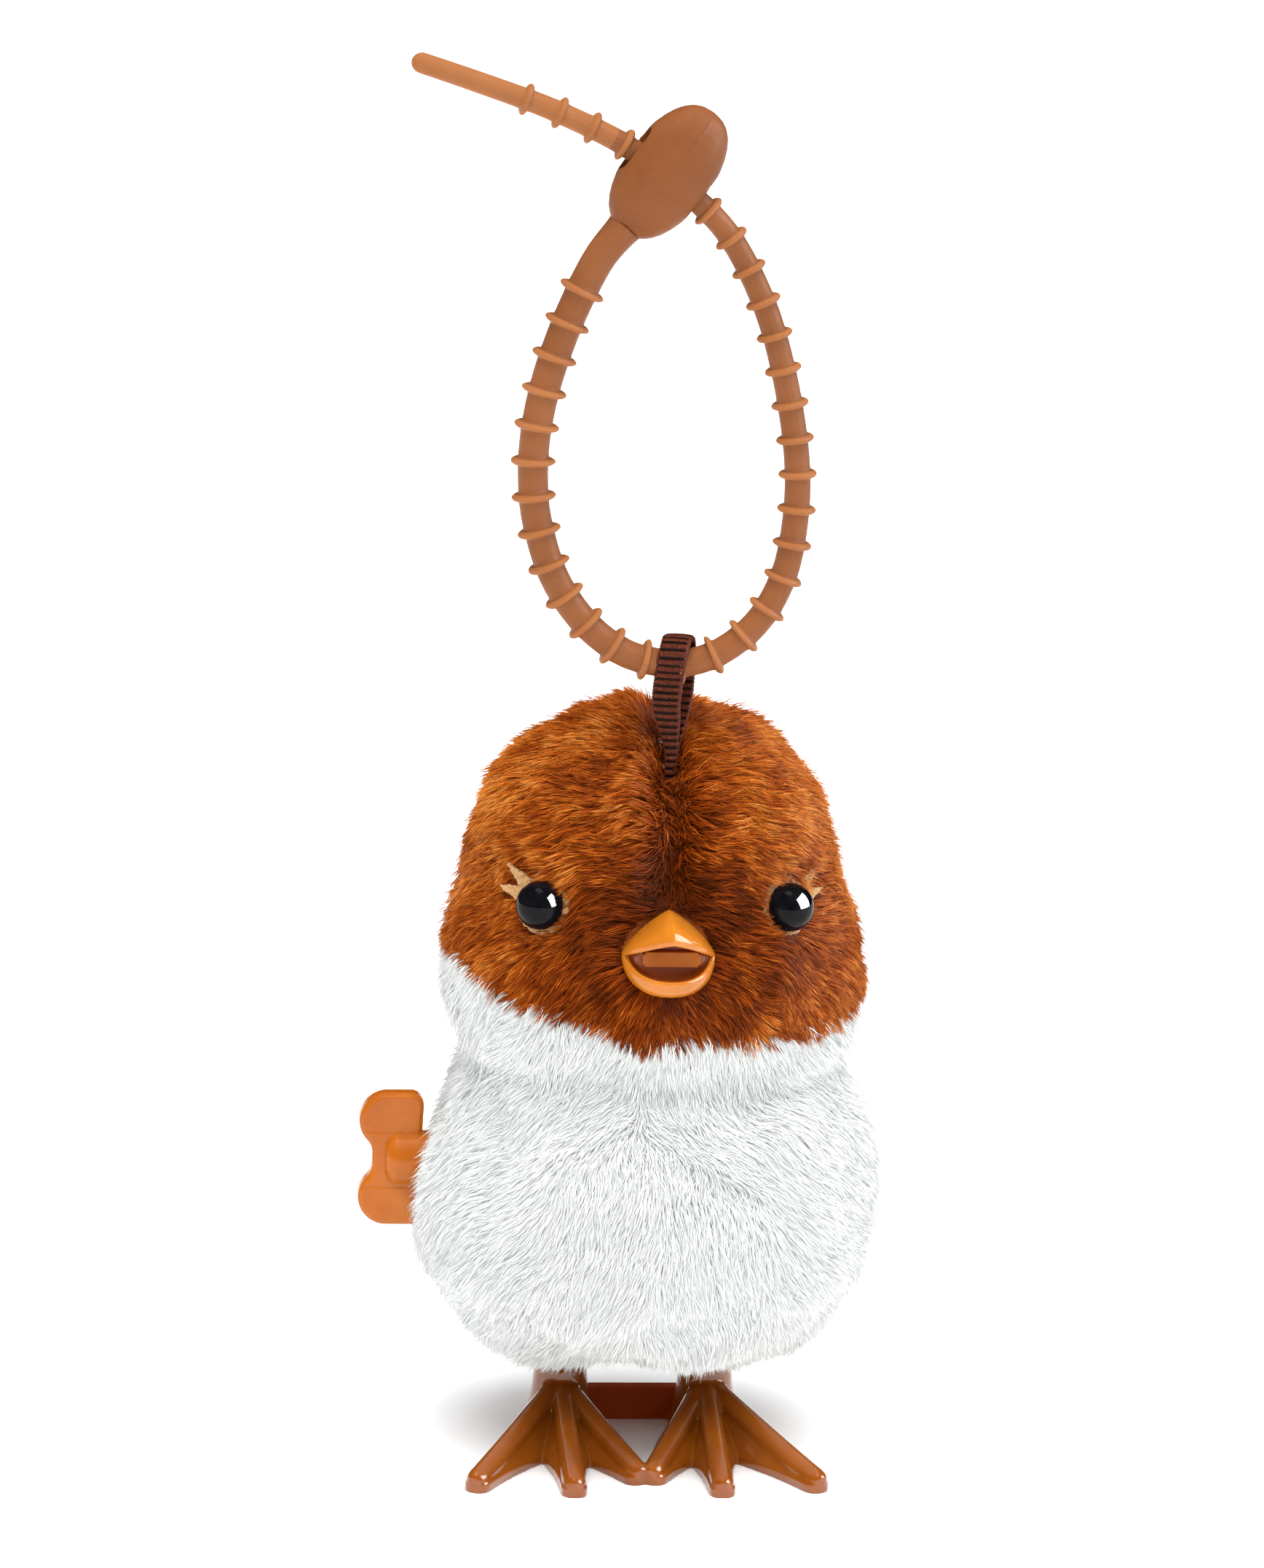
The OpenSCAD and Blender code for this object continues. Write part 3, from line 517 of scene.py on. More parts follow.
def drape(p, n):
    """Sags, folds and the seam groove of the stuffed cover, added along its normal."""
    x, y, z = p.T
    front = np.clip(-y / 12, 0, 1)
    body = np.clip((border_height(p) - z) / 3, 0, 1)
    head = 1 - body
    d = 0.45 * waves(p, 17, 3) * body + 0.22 * waves(p, 9, 4) * body + 0.25 * waves(p, 15, 5) * head
    groove = gauss(x - SEAM_X - 0.4 * np.sin(z / 2.5), 1.5) * head * (z > 74)
    d -= 1.9 * groove * np.clip((z - 73) / 3, 0, 1)
    neck = 50.6 - 0.05 * (x - 2) - 0.6 * np.sin(x / 7)
    d -= 0.45 * gauss(z - neck, 2.4) * body * front
    d += 0.9 * gauss(z - 44.2 + 0.05 * x, 3.4) * gauss(x - 12, 11) * front
    d -= 1.3 * gauss(x + 18.5 - 0.12 * (z - 44), 1.6) * gauss(z - 45, 7) * front
    d += 0.7 * gauss(x + 14.5, 2.5) * gauss(z - 45, 7) * front
    d -= 0.8 * gauss(x - 21.5 - 0.1 * (z - 46), 2.0) * gauss(z - 47, 5) * front
    d -= 0.5 * gauss(z - 40 + 0.5 * (x - 6), 1.8) * gauss(x - 7, 7) * front
    raised = p + n * d[:, None]
    lift = 2.3 - 1.1 * gauss(x - 4.5, 5)
    raised[:, 2] += lift * np.clip((-y - 10.4) / 4.5, 0, 1) * np.clip((25 - z) / 10, 0, 1)
    return raised


def cover_grid():
    """Rows of the cover: the rim at the base plate, the underside, then the sides up to the crown."""
    a = np.arange(COLS) * 2 * math.pi / COLS
    side = np.stack([cover_point(np.full(COLS, z), a) for z in PROFILE[:, 0]])
    c, s = np.cos(a), np.sin(a)
    half_x, half_y = 14.25, 10.75
    plate = np.stack([half_x * np.sign(c) * np.abs(c) ** 0.5, half_y * np.sign(s) * np.abs(s) ** 0.5,
                      np.full(COLS, 13.05)], -1)
    steps = (0.85, 0.7, 0.55, 0.4, 0.26, 0.13)
    inward = [plate * t + side[0] * (1 - t) - UP * 0.35 * math.sin(math.pi * t) for t in steps]
    return np.concatenate([[plate + UP * 0.9, plate], inward, side])


def grid_normals(rows):
    along = np.roll(rows, -1, 1) - np.roll(rows, 1, 1)
    up = np.gradient(rows, axis=0)
    n = np.cross(along, up)
    n[-1] = UP
    return unit(n)


rows = cover_grid()
flat = rows.reshape(-1, 3)
rows = drape(flat, grid_normals(rows).reshape(-1, 3)).reshape(rows.shape)
normals = grid_normals(rows)
SKIN_CAP_LIFT = 1.3


def cover_piece(name, keep_cap, material, node):
    quads = grid_faces(len(rows), COLS)
    points = rows.reshape(-1, 3)
    centre = points[quads].mean(1)
    above = centre[:, 2] > border_height(centre) + SKIN_CAP_LIFT
    chosen = quads[above if keep_cap else ~above]
    used, index = np.unique(chosen, return_inverse=True)
    me = new_mesh(name, points[used], index.ravel(), [4] * len(chosen))
    obj = piece(name, me, [material], "torso", [node])


cover_piece("cap_cloth", True, CAP_BACKING, "head_plush")
cover_piece("body_cloth", False, BODY_BACKING, "body_plush")


# ---------------------------------------------------------------- eyes, felt and beak
EYE_Z, EYE_ANGLE, EYE_R, FELT_T = 72.8, 38.0, 3.0, 0.8
BEAK_C = np.array([0.45, -21.5, 68.3])


def eye_frame(side):
    """Place and axes of an eye on the CAD cover: columns are local x, y and the outward normal."""
    a = math.radians(-90 + side * EYE_ANGLE)
    rows_cad = np.array([(z, r * HEAD_R) for z, r in HEAD_ROWS])

    def at(z, angle):
        rx = np.interp(z, rows_cad[:, 0], rows_cad[:, 1])
        c, s = math.cos(angle), math.sin(angle)
        cx = 0.3 + math.exp(-(((z - 42) / 15) ** 2))
        x = cx + rx * math.copysign(abs(c) ** SQUARE, c)
        return np.array([x, -1 + rx * DEPTH * math.copysign(abs(s) ** SQUARE, s), z])

    step = math.radians(2)
    n = unit(np.cross(at(EYE_Z, a + step) - at(EYE_Z, a - step), at(EYE_Z + 2, a) - at(EYE_Z - 2, a)))
    turns = (math.atan2(n[1], n[0]), "Z"), (math.acos(n[2]), "Y"), (math.pi / 2, "Z")
    first, second, third = (Matrix.Rotation(angle, 3, axis) for angle, axis in turns)
    return at(EYE_Z, a), np.array(first @ second @ third)


def revolve(name, profile, turn, centre, sides=72):
    """Solid of revolution about the local z axis; profile is (radius, height) from bottom to top."""
    a = np.arange(sides) * 2 * math.pi / sides
    rings = np.stack([np.stack([r * np.cos(a), r * np.sin(a), np.full(sides, h)], -1) for r, h in profile])
    rings = rings @ turn.T + centre
    return rings_mesh(name, rings)


eye_frames = {-1: eye_frame(-1), 1: eye_frame(1)}


def eye_piece(side, label):
    """Domed safety eye with a narrow rim on the felt and the start of its stem."""
    centre, turn = eye_frames[side]
    angles = np.linspace(0, math.pi / 2 - 0.01, 40)
    dome = [(EYE_R * math.cos(t), FELT_T + 0.65 + EYE_R * math.sin(t)) for t in angles]
    foot = [(EYE_R - 0.25, FELT_T + 0.1), (EYE_R - 0.1, FELT_T + 0.15), (EYE_R - 0.02, FELT_T + 0.3)]
    stem = [(0.9, -4), (1.2, -3.6), (1.2, FELT_T + 0.1)]
    me = revolve("safety_eye_" + label, stem + foot + dome, turn, centre)
    return piece("safety_eye_" + label, me, [EYE], "torso", ["eye_" + label])


EYES = bpy.data.collections.new("eyes")
for side, label in ((-1, "left"), (1, "right")):
    EYES.objects.link(eye_piece(side, label))
LASHES = [(14, 6.8), (37, 7.5), (78, 5.6)]  # angle in degrees and length of each lash


BEAK_ROWS = [
    (5.2, 0, 0, 0, 4.9, 4.4), (5.65, 0.8, 0, 0, 5.3, 4.8), (5.7, 1.5, 0.9, 0.8, 5.3, 4.85),
    (5.68, 1.9, 2.6, 2.2, 5.1, 4.75), (5.6, 2.1, 4.3, 3.7, 4.75, 4.4), (5.5, 2.25, 5.4, 4.6, 4.2, 3.8),
    (5.4, 2.3, 5.8, 4.95, 3.5, 3.1), (5.25, 2.3, 5.9, 5.1, 2.9, 2.5), (5.05, 2.25, 5.8, 5.0, 2.6, 2.15),
    (4.85, 2.15, 5.4, 4.55, 2.6, 2.2), (4.7, 2.2, 3.2, 2.6, 2.9, 2.5), (4.4, 2.6, 1.0, 1.0, 3.0, 2.5),
    (3.95, 3.35, 0.05, 0.05, 2.6, 2.2), (0.4, 3.4, 0, 0, 0.3, 0.3)]


def beak_piece():
    """The beak's skin from the cover out to the lips and back into the mouth. Each row of BEAK_ROWS: half
    width, how far forward the corners are, how much further the upper and the lower half reach, their
    heights."""
    table = np.array(BEAK_ROWS)
    steps, sides, lip_row = 8, 160, 9
    fine = np.linspace(0, len(table) - 1, steps * (len(table) - 1) + 1)
    k = np.clip(fine.astype(int), 0, len(table) - 2)
    t = (fine - k)[:, None]
    ends = np.vstack([2 * table[0] - table[1], table, 2 * table[-1] - table[-2]])
    row = catmull_rom(ends[k], ends[k + 1], ends[k + 2], ends[k + 3], t)
    angle = np.arange(sides) * 2 * math.pi / sides
    co, si = np.cos(angle)[None], np.sin(angle)[None]
    upper, size = si > 0, np.abs(si)
    x = row[:, :1] * np.sign(co) * np.abs(co) ** np.where(upper, 1.6, 0.9)
    y = -row[:, 1:2] - np.where(upper, row[:, 2:3], row[:, 3:4]) * size**1.2
    z = np.where(upper, row[:, 4:5] * size**1.6, -row[:, 5:6] * size**0.85)
    rings = np.stack([x, y, z], -1) + BEAK_C
    me = rings_mesh("soft_beak", rings)
    outside = lip_row * steps
    # Rows past the lips, inside the mouth, take the darker plastic: painted shade in the hollow.
    slots = [0] * (outside * sides) + [1] * ((len(rings) - 1 - outside) * sides) + [0, 1]
    me.polygons.foreach_set("material_index", np.array(slots, np.int32))
    piece("soft_beak", me, [BEAK, THROAT_SHADE], "torso", ["beak"])


def felt_relief(co, n):
    return co + n * (0.09 * waves(co, 0.9, 21) + 0.05 * waves(co, 0.35, 22))[:, None]


for side, label in ((-1, "left"), (1, "right")):
    moulded("lash_" + label, "felt_pad_" + label, 0.13, 2, FELT, "torso", felt_relief)

beak_piece()
moulded("beak_tongue", "mouth_block", 0.1, 2, MOUTH, "torso")
moulded("winding_key", "bow_key", 0.12, 3, AMBER, "key", key_relief)
moulded("feet", "webbed_feet", 0.17, 3, CARAMEL, "legs")
moulded("heel_bar", "rear_bar", 0.16, 3, HEEL, "legs")
moulded("leg_frame", "leg_posts", 0.2, 2, LEG, "legs")


# ---------------------------------------------------------------- ribbon
RIBBON_X, RIBBON_T, RIBBON_W = 1.0, 0.5, 3.6
RIB_PITCH = 0.9


def ribbon_piece():
    """Grosgrain loop: path in its own plane, pinched where it enters the seam."""
    top_z, half = 103.0, 2.45
    path = [(0.35, 84.5), (0.3, 88.5), (0.35, 91.5), (0.75, 95), (1.5, 99), (2.25, 102)]
    path += [(half * math.cos(t), top_z + half * 0.95 * math.sin(t)) for t in np.radians([12, 40, 70, 90])]
    path = [(-y, z) for y, z in path] + [(y, z) for y, z in path[::-1][1:]]
    line = smooth_line([(y, z, 0) for y, z in path], 0.11)[:, :2]
    s = arc_length(line)
    tangent = unit(np.gradient(line, axis=0))
    outward = np.stack([-tangent[:, 1], tangent[:, 0]], -1)
    width = np.interp(line[:, 1], [84, 91, 92.5, 95.5, 98], [1.5, 1.6, 2.0, 3.2, RIBBON_W])
    rib = 0.28 * np.abs(np.sin(math.pi * s / RIB_PITCH)) ** 0.8
    u = np.linspace(-1, 1, 19)
    edge = 0.14 * gauss(np.abs(u) - 0.93, 0.07)
    thick = RIBBON_T / 2 * (1 - 0.5 * gauss(np.abs(u) - 1, 0.03)) + edge
    thick = thick + (rib[:, None] - 0.14) * (np.abs(u) < 0.86)
    wobble = 0.05 * np.sin(2 * math.pi * s / 0.45)
    across = u * (width[:, None] / 2 + wobble[:, None] * (np.abs(u) > 0.9))
    cup = 0.12 * (u**2)
    turn = math.radians(-14)
    centre_x = np.interp(line[:, 1], [91, 97, 105], [RIBBON_X + 0.1, RIBBON_X - 0.1, RIBBON_X + 0.45])
    lean = np.where(line[:, 0] < 0, -0.55, 0.55) * gauss(line[:, 1] - 98, 5)
    front, back = thick + cup, (-thick + cup)[:, ::-1]
    offset = np.concatenate([front, back], 1)
    x = np.concatenate([across, across[:, ::-1]], 1)
    y = line[:, :1] - outward[:, :1] * offset
    z = line[:, 1:] - outward[:, 1:] * offset
    squeeze = np.interp(z, [91, 96], [0.35, 1.0])
    angle = turn * squeeze
    px = centre_x[:, None] + lean[:, None] + x * np.cos(angle) - y * np.sin(angle)
    py = -12.85 + x * np.sin(angle) + y * np.cos(angle)
    rings = np.stack([px, py, z], -1)
    me = rings_mesh("grosgrain_ribbon", rings, flip=True)
    inner = np.abs(np.concatenate([u, u[::-1]])) < 0.84
    # Faces in the hollows between the ribs take the near-black ribbon: painted shade in the grooves.
    groove = (rib[1:] + rib[:-1] < 0.35)[:, None] & inner[None]
    me.polygons.foreach_set("material_index", np.concatenate([groove.ravel().astype(np.int32), [0, 0]]))
    obj = new_object("grosgrain_ribbon", me, [GROSGRAIN, GROSGRAIN_GROOVE_SHADE])
    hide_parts("ribbon_loop", "ribbon_root")
    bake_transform(obj)


ribbon_piece()

# ---------------------------------------------------------------- fur
# Each strand's root row is one tone darker and, in the brown, its tip row one tone lighter: painted shade
# deep in the pile and painted highlight on the tips. The darkest brown tone also paints the shade in the seam
# and round the beak.
BROWN = [strand_fibre("cap_pile_" + n, c, 0.4, 0.08) for n, c in (
    ("shade", srgb(92, 36, 3)), ("root", srgb(124, 50, 3)), ("deep", srgb(144, 62, 5)),
    ("mid", srgb(164, 77, 11)), ("copper", srgb(186, 98, 26)), ("tip", srgb(212, 132, 58)))]
WHITE = [strand_fibre("body_pile_" + n, c, 0.7, 0.0) for n, c in (
    ("root", srgb(226, 228, 225)), ("shade", srgb(232, 235, 233)), ("mid", srgb(237, 240, 238)),
    ("tip", srgb(242, 244, 243)))]


def sample_roots(count, density):
    """Random points of the cover: density weighs each quad by its centre."""
    quads = grid_faces(len(rows), COLS)
    points, norms = rows.reshape(-1, 3), normals.reshape(-1, 3)
    corners = points[quads]
    diagonals = corners[:, 2] - corners[:, 0], corners[:, 3] - corners[:, 1]
    area = np.linalg.norm(np.cross(*diagonals), axis=1) / 2
    weight = area * density(corners.mean(1))
    chosen = rng.choice(len(quads), size=count, p=weight / weight.sum())
    u, v = rng.random((2, count, 1))
    w = [(1 - u) * (1 - v), u * (1 - v), u * v, (1 - u) * v]
    p = sum(w[k] * points[quads[chosen, k]] for k in range(4))
    n = unit(sum(w[k] * norms[quads[chosen, k]] for k in range(4)))
    return p, n


def clumps(p, spacing_share):
    """For each root, the index of the clump leader it leans to."""
    leaders = rng.choice(len(p), size=max(1, int(len(p) * spacing_share)), replace=False)
    tree = kdtree.KDTree(len(leaders))
    for i, k in enumerate(leaders):
        tree.insert(p[k], i)
    tree.balance()
    return leaders[np.array([tree.find(q)[1] for q in p])]


def on_eye(p, side):
    """Position in the eye's own plane, and the height over it."""
    centre, turn = eye_frames[side]
    q = (p - centre) @ turn
    return q[:, 0], q[:, 1], q[:, 2]


def near_lashes(p, reach):
    """True where a point lies over an eye or its felt lashes."""
    hit = np.zeros(len(p), bool)
    for side in (-1, 1):
        x, y, h = on_eye(p, side)
        close = np.abs(h) < 7
        hit |= close & (np.hypot(x, y) < 3.3 + reach - 0.45 * np.clip(-side * x / 3, 0, 1))
        for angle, tip in LASHES:
            a = math.radians(90 - side * (90 - angle))
            t = np.clip(x * math.cos(a) + y * math.sin(a), 2.5, tip)
            hit |= close & (np.hypot(x - t * math.cos(a), y - t * math.sin(a)) < 0.45 + reach)
    return hit


def in_beak(p, grow):
    x, z = (p[:, 0] - BEAK_C[0]) / (5.5 + grow), (p[:, 2] - BEAK_C[2] - 0.2) / (4.8 + grow)
    return (x**2 + z**2 < 1) & (p[:, 1] < -8)


def on_hub(p, r):
    return (np.hypot(p[:, 1], p[:, 2] - KEY_Z) < r) & (p[:, 0] < -10)


def tangent_part(v, n):
    return unit(v - n * np.sum(v * n, axis=1, keepdims=True))


def turned(v, n, angle):
    """v turned about n by angle."""
    return v * np.cos(angle)[:, None] + np.cross(n, v) * np.sin(angle)[:, None]


def strand_lines(p, n, flow, length, lift, curl, knots):
    """Centre lines of strands: lift is the angle off the skin at the root, curl the share of it that is gone
    by the tip."""
    line = [p - n * 0.25]
    here = p - n * 0.25
    for k in range(knots):
        angle = lift * (1 - curl * k / max(1, knots - 1))
        step = n * np.sin(angle)[:, None] + flow * np.cos(angle)[:, None]
        here = here + step * (length / knots)[:, None]
        line.append(here)
    return np.stack(line, 1)


def strand_mesh(name, line, n, width, tones, blend):
    """Three-sided tapered strands along line (strands x knots x 3), as one mesh. tones gives the material of
    each row of faces, blend how far their normals lean to the skin's."""
    count, knots = line.shape[:2]
    direction = unit(np.gradient(line, axis=1))
    side = unit(np.cross(direction, n[:, None, :] + 0 * direction))
    up = np.cross(side, direction)
    spin = rng.uniform(0, 2 * math.pi, (count, 1, 1))
    taper = np.array({3: [1.0, 0.8], 4: [1.0, 0.95, 0.7]}[knots])
    points, outward = [], []
    for j in range(3):
        a = spin + j * 2 * math.pi / 3
        ray = side[:, :-1] * np.cos(a) + up[:, :-1] * np.sin(a)
        points.append(line[:, :-1] + ray * (width[:, None] * taper)[:, :, None] / 2)
        outward.append(ray)
    body = np.stack(points, 2).reshape(count, -1, 3)
    rays = np.stack(outward, 2).reshape(count, -1, 3)
    verts = np.concatenate([body, line[:, -1:]], 1)
    rays = np.concatenate([rays, up[:, -1:]], 1)
    shade = unit(n[:, None, :] * blend + rays * (1 - blend))
    per = verts.shape[1]
    quads = [[3 * k + j, 3 * k + (j + 1) % 3, 3 * k + 3 + (j + 1) % 3, 3 * k + 3 + j]
             for k in range(knots - 2) for j in range(3)]
    tris = [[per - 4 + j, per - 4 + (j + 1) % 3, per - 1] for j in range(3)] + [[2, 1, 0]]
    pattern = np.array(sum([f[::-1] for f in quads + tris], []))
    sizes = np.array([4] * len(quads) + [3] * len(tris))
    row = np.array([k for k in range(knots - 2) for _ in range(3)] + [knots - 2] * 3 + [0])
    loops = (np.arange(count)[:, None] * per + pattern).ravel()
    me = new_mesh(name, verts.reshape(-1, 3), loops, np.tile(sizes, count), tones[:, row].ravel())
    me.normals_split_custom_set_from_vertices(shade.reshape(-1, 3).astype(np.float32))
    return me


def fur(name, line, n, width, tones, materials, blend, parts):
    """Strands split into pieces by the angle round the body, so that no mesh is too large."""
    middle = line[:, 0]
    order = np.argsort(np.arctan2(middle[:, 0] + 0.01, -middle[:, 1]))
    for k, chunk in enumerate(np.array_split(order, parts)):
        label = f"{name}_{k + 1}"
        me = strand_mesh(label, line[chunk], n[chunk], width[chunk], tones[chunk], blend)
        piece(label, me, materials, "torso")


def pulled(line, lead, pull):
    """Strands drawn towards their clump leaders, by a share for each knot and less over a long gap."""
    offset = line[lead] - line
    reach = np.minimum(1, 0.9 / np.maximum(np.linalg.norm(offset[:, :1], axis=2, keepdims=True), 0.01))
    return line + offset * np.array(pull)[None, :, None] * reach


def shorten(line, bad, share):
    line[bad, 1:] = line[bad, :1] + (line[bad, 1:] - line[bad, :1]) * share


FEWER = 1.0
FUR_PARTS = 10


def brown_fur(count):
    def density(c):
        cap = c[:, 2] > border_height(c) + SKIN_CAP_LIFT
        return cap * (1 + 0.35 * (c[:, 1] < 0))

    p, n = sample_roots(int(count * FEWER), density)
    keep = ~near_lashes(p, 0.1) & ~in_beak(p, -0.6)
    keep &= ~((np.abs(p[:, 0] - RIBBON_X) < 0.9) & (np.abs(p[:, 1] + 12.6) < 0.7) & (p[:, 2] > 85))
    p, n = p[keep], n[keep]
    lead = clumps(p, 0.22)
    x, y, z = p.T
    side = np.tanh((x - SEAM_X) / 1.2)
    low = np.clip((70 - z) / 12, 0, 1)
    down = 0.5 + 1.1 * low + 0.5 * np.clip(y / 20, 0, 1)
    out = 1.15 - 0.25 * low
    flow = np.stack([side * out * np.clip(np.abs(x - SEAM_X) / 1.6, 0.3, 1), 0.2 + 0 * x, -down], -1)
    from_beak = p - BEAK_C
    from_beak[:, 1] = 0
    gap = np.hypot(from_beak[:, 0], from_beak[:, 2])
    away = 1.6 * gauss(gap - 4, 4.5) * (y < 0) * np.where(from_beak[:, 2] > 2, 0.35, 1)
    flow += unit(from_beak) * away[:, None]
    flow = tangent_part(flow, n)
    seam = gauss(x - SEAM_X, 1.5) * (z > 73) * (y < 16)
    turn = 0.28 * waves(p, 11, 31) + 0.2 * waves(p, 5, 32)
    turn = turn + rng.normal(0, 0.16, len(p))[lead] + rng.normal(0, 0.09, len(p))
    turn = turn + seam * rng.normal(0, 1.0, len(p))
    flow = turned(flow, n, turn)
    length = (3.9 + 0.5 * waves(p, 14, 33)) * (1 - 0.2 * (z < 66))
    length = length * rng.uniform(0.82, 1.12, len(p)) * rng.uniform(0.86, 1.1, len(p))[lead]
    length *= (1 - 0.3 * seam) * (1 - 0.6 * gauss(x - SEAM_X - 0.4 * np.sin(z / 2.5), 0.9) * (z > 74))
    length *= np.where(near_lashes(p, 1.6), 0.75, 1)
    lift = np.radians(34 + 7 * waves(p, 7, 34) + 26 * seam)
    lift = lift + rng.normal(0, 0.12, len(p)) + rng.normal(0, 0.1, len(p))[lead]
    stray = rng.random(len(p)) < 0.07
    length, lift = length * np.where(stray, 1.2, 1), lift + 0.3 * stray
    line = strand_lines(p, n, flow, length, np.clip(lift, 0.15, 1.45), 0.55, 3)
    line = pulled(line, lead, [0, 0.1, 0.34, 0.52])
    for _ in range(3):
        tip = line[:, -1]
        shorten(line, near_lashes(tip, -0.55) | in_beak(tip, -0.9) | near_lashes(line[:, 2], -0.4), 0.72)
    keep = ~(near_lashes(line[:, -1], -0.5) | in_beak(line[:, -1], -1.2))
    clump_tone = rng.normal(0, 1, len(keep))[lead][keep]
    line, n, p, seam = line[keep], n[keep], p[keep], seam[keep]
    # Masks for painted light: shade round the beak and on the chin below it, rim light on the upper sides of
    # the head.
    shade_near_beak = gauss(np.hypot(p[:, 0] - BEAK_C[0], p[:, 2] - BEAK_C[2]), 11) * (p[:, 1] < 0)
    sides = np.clip((np.abs(p[:, 0]) - 7) / 10, 0, 1) * np.clip((p[:, 2] - 68) / 8, 0, 1)
    tone = 0.6 * clump_tone + 0.5 * rng.normal(0, 1, len(p)) + 0.7 * waves(p, 7, 35) + 0.6 * waves(p, 3.2, 36)
    # Painted rim light on the upper sides, painted shade round the beak and in the seam groove.
    tone += 0.8 * sides - 2.6 * shade_near_beak - 3.2 * seam
    level = np.clip(np.round(2.4 + 0.85 * tone), 0, 5).astype(int)
    # Root row one tone darker, tip row one tone lighter: painted shade deep in the pile and painted highlight
    # on the tips.
    tones = np.stack([np.clip(level - 1, 0, 3), level, np.clip(level + (tone > -0.6), 0, 5)], 1)
    width = rng.uniform(0.11, 0.19, len(p))
    fur("cap_fur", line, n, width, tones, BROWN, 0.45, FUR_PARTS)


def white_fur(count):
    def density(c):
        below = c[:, 2] < border_height(c) + SKIN_CAP_LIFT + 0.6
        underside = (c[:, 2] < 13.0) & (np.hypot(c[:, 0], c[:, 1]) < 15)
        return below * (1 + 0.3 * (c[:, 1] < 0)) * np.where(underside, 0.6, 1)

    p, n = sample_roots(int(count * FEWER), density)
    keep = ~on_hub(p, 3.75)
    p, n = p[keep], n[keep]
    lead = clumps(p, 0.2)
    x, y, z = p.T
    front = np.clip(-y / 10, 0, 1)
    start, along = np.array([-2.5, 46.0]), np.array([14.5, -7.5])  # the parting across the belly, in x and z
    t = np.clip(((x - start[0]) * along[0] + (z - start[1]) * along[1]) / (along @ along), 0, 1)
    away = np.stack([x - start[0] - t * along[0], 0 * x, z - start[1] - t * along[1]], -1)
    gap = np.hypot(away[:, 0], away[:, 2])
    sideways = 0.035 * (x - 2) + 0.5 * np.clip((x - 8) / 14, 0, 1) * gauss(z - 40, 9)
    flow = np.stack([sideways, 0.12 + 0 * x, -1 + 0 * x], -1)
    flow += unit(away) * (0.7 * gauss(gap, 6.5) * front)[:, None]
    flow = tangent_part(flow, n)
    whorl = gauss(gap, 2.2) * front
    turn = 0.25 * waves(p, 12, 41) + 0.16 * waves(p, 5, 42)
    turn = turn + rng.normal(0, 0.12, len(p))[lead] + rng.normal(0, 0.16, len(p))
    flow = turned(flow, n, turn + whorl * rng.normal(0, 0.35, len(p)))
    length = (2.9 + 0.25 * waves(p, 13, 43)) * (1 - 0.25 * np.clip((19 - z) / 4, 0, 1))
    length = length * np.where((z < 14) & (y > -10), 0.45, 1)
    length = length * rng.uniform(0.8, 1.12, len(p)) * rng.uniform(0.88, 1.1, len(p))[lead]
    lift = np.radians(32 + 4 * waves(p, 8, 44) + 12 * whorl + 24 * np.clip((19.5 - z) / 4, 0, 1))
    lift = lift + rng.normal(0, 0.13, len(p)) + rng.normal(0, 0.08, len(p))[lead]
    stray = rng.random(len(p)) < 0.1
    length, lift = length * np.where(stray, 1.25, 1), lift + 0.32 * stray
    line = strand_lines(p, n, flow, length, np.clip(lift, 0.15, 1.45), 0.5, 2)
    line = pulled(line, lead, [0, 0.06, 0.16])
    for _ in range(3):
        shorten(line, on_hub(line[:, -1], 3.5) | on_hub(line[:, 1], 3.5), 0.75)
    keep = ~(on_hub(line[:, -1], 3.4) | on_hub(line[:, 1], 3.4))
    clump_tone = rng.normal(0, 1, len(keep))[lead][keep]
    line, n, p = line[keep], n[keep], p[keep]
    tone = 0.7 * clump_tone + 0.5 * rng.normal(0, 1, len(p))
    level = np.clip(np.round(2.2 + 0.6 * tone), 1, 3).astype(int)
    # Root row one tone darker: painted shade deep in the pile.
    tones = np.stack([level - 1, level], 1)
    width = rng.uniform(0.1, 0.16, len(p))
    fur("body_fur", line, n, width, tones, WHITE, 0.72, FUR_PARTS)


brown_fur(115000)
white_fur(185000)

# ---------------------------------------------------------------- materials of the CAD nodes
CAD_LOOKS = {
    STUFFING: ["head_stuffing", "body_stuffing"],
    WASHER: ["beak_washer", "eye_washer_left", "eye_washer_right"],
    STEEL: ["winding_arbor", "second_axle", "crank_axle", "gearbox_screws", "leg_pivot_pin", "base_screws"],
    SPRING: ["mainspring", "ratchet_wheel"],
    BRASS: ["click_spring"],
    GEAR: ["drive_gear", "second_wheel", "crank_wheel", "crank_left", "crank_right"],
    CASE: ["gearbox_left", "gearbox_right"],
    BASE: ["base_plate"],
}
for look, names in CAD_LOOKS.items():
    for name in names:
        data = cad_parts[name].data
        if not data.materials:
            data.materials.append(look)
        for k in range(len(data.materials)):
            data.materials[k] = look


# ---------------------------------------------------------------- floor and light
def make_floor():
    half = 4000.0
    corners = np.array([[-half, -half, 0], [half, -half, 0], [half, half, 0], [-half, half, 0]])
    m, tree, shader = shader_of("studio_floor")
    colour_by(tree, shader, noise(tree, 90, 3), [(0.3, (0.93, 0.93, 0.93, 1)), (0.7, (0.96, 0.96, 0.96, 1))])
    set_values(shader, {"Roughness": 0.75, "Specular IOR Level": 0.2})
    floor = new_object("floor", new_mesh("floor", corners, [0, 1, 2, 3], [4]), [m])


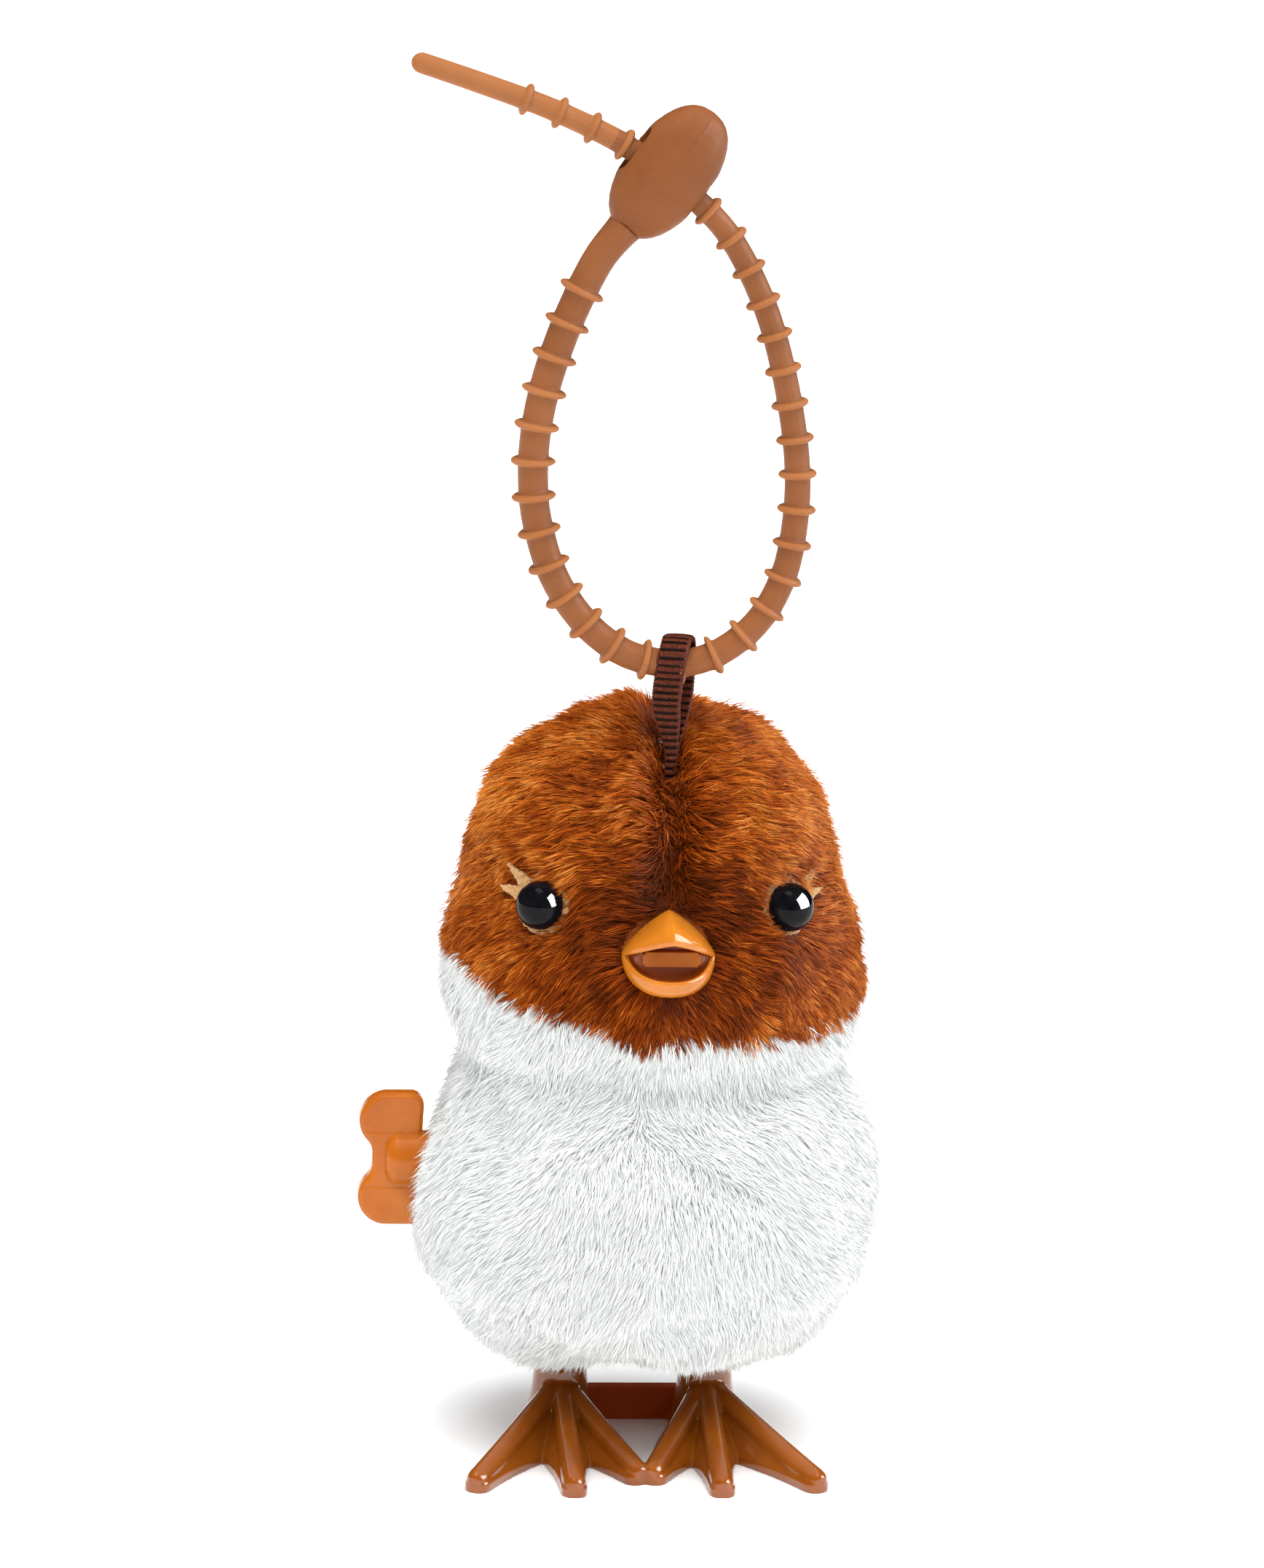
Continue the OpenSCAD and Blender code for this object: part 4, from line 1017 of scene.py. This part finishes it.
def make_world():
    """Soft studio surround, brighter overhead. Shiny parts mirror the lamps and the floor, not this."""
    world = bpy.data.worlds.new("studio")
    SCENE.world = world
    world.use_nodes = True
    tree = world.node_tree
    background = tree.nodes["Background"]
    z = add(tree, "SeparateXYZ", {0: add(tree, "TexCoord").outputs["Generated"]}).outputs[2]
    greys = [(0.0, (0.62, 0.62, 0.62, 1)), (0.25, (0.66, 0.665, 0.67, 1)), (0.75, (1, 1, 1, 1))]
    tree.links.new(ramp(tree, z, greys), background.inputs[0])
    background.inputs[1].default_value = 0.98
    world.cycles_visibility.glossy = False


def soft_light(name, place, size, radiance, mirrored):
    """A rectangle of light; mirrored ones only show in shiny surfaces, the others only light matt ones."""
    data = bpy.data.lights.new(name, "AREA")
    data.shape, data.size, data.size_y = "RECTANGLE", size[0], size[1]
    data.energy = radiance * math.pi * size[0] * size[1]
    light = bpy.data.objects.new(name, data)
    light.location = place
    light.rotation_mode = "QUATERNION"
    light.rotation_quaternion = (Vector((0, 0, 0.06)) - Vector(place)).to_track_quat("-Z", "Y")
    light.visible_diffuse, light.visible_glossy = not mirrored, mirrored
    SCENE.collection.objects.link(light)
    return light


def sun(name, direction, strength, angle):
    data = bpy.data.lights.new(name, "SUN")
    data.energy, data.angle = strength, math.radians(angle)
    light = bpy.data.objects.new(name, data)
    light.rotation_mode = "QUATERNION"
    light.rotation_quaternion = Vector(direction).to_track_quat("-Z", "Y")
    light.visible_glossy = False
    SCENE.collection.objects.link(light)


make_floor()
make_world()
sun("overhead", (-0.05, 0.28, -1), 3.9, 60)
soft_light("front_fill", (-0.1, -1.05, 0.8), (0.35, 0.35), 5, False)
soft_light("window", (1.2, -0.35, 0.66), (1.05, 0.95), 12, True)
glint = soft_light("eye_glint", (1.05, -0.3, 0.6), (1.3, 1.1), 190, True)
glint.light_linking.receiver_collection = EYES
soft_light("ceiling", (-0.15, -0.1, 1.4), (0.7, 0.5), 3, True)
SCENE.view_settings.view_transform = "Standard"
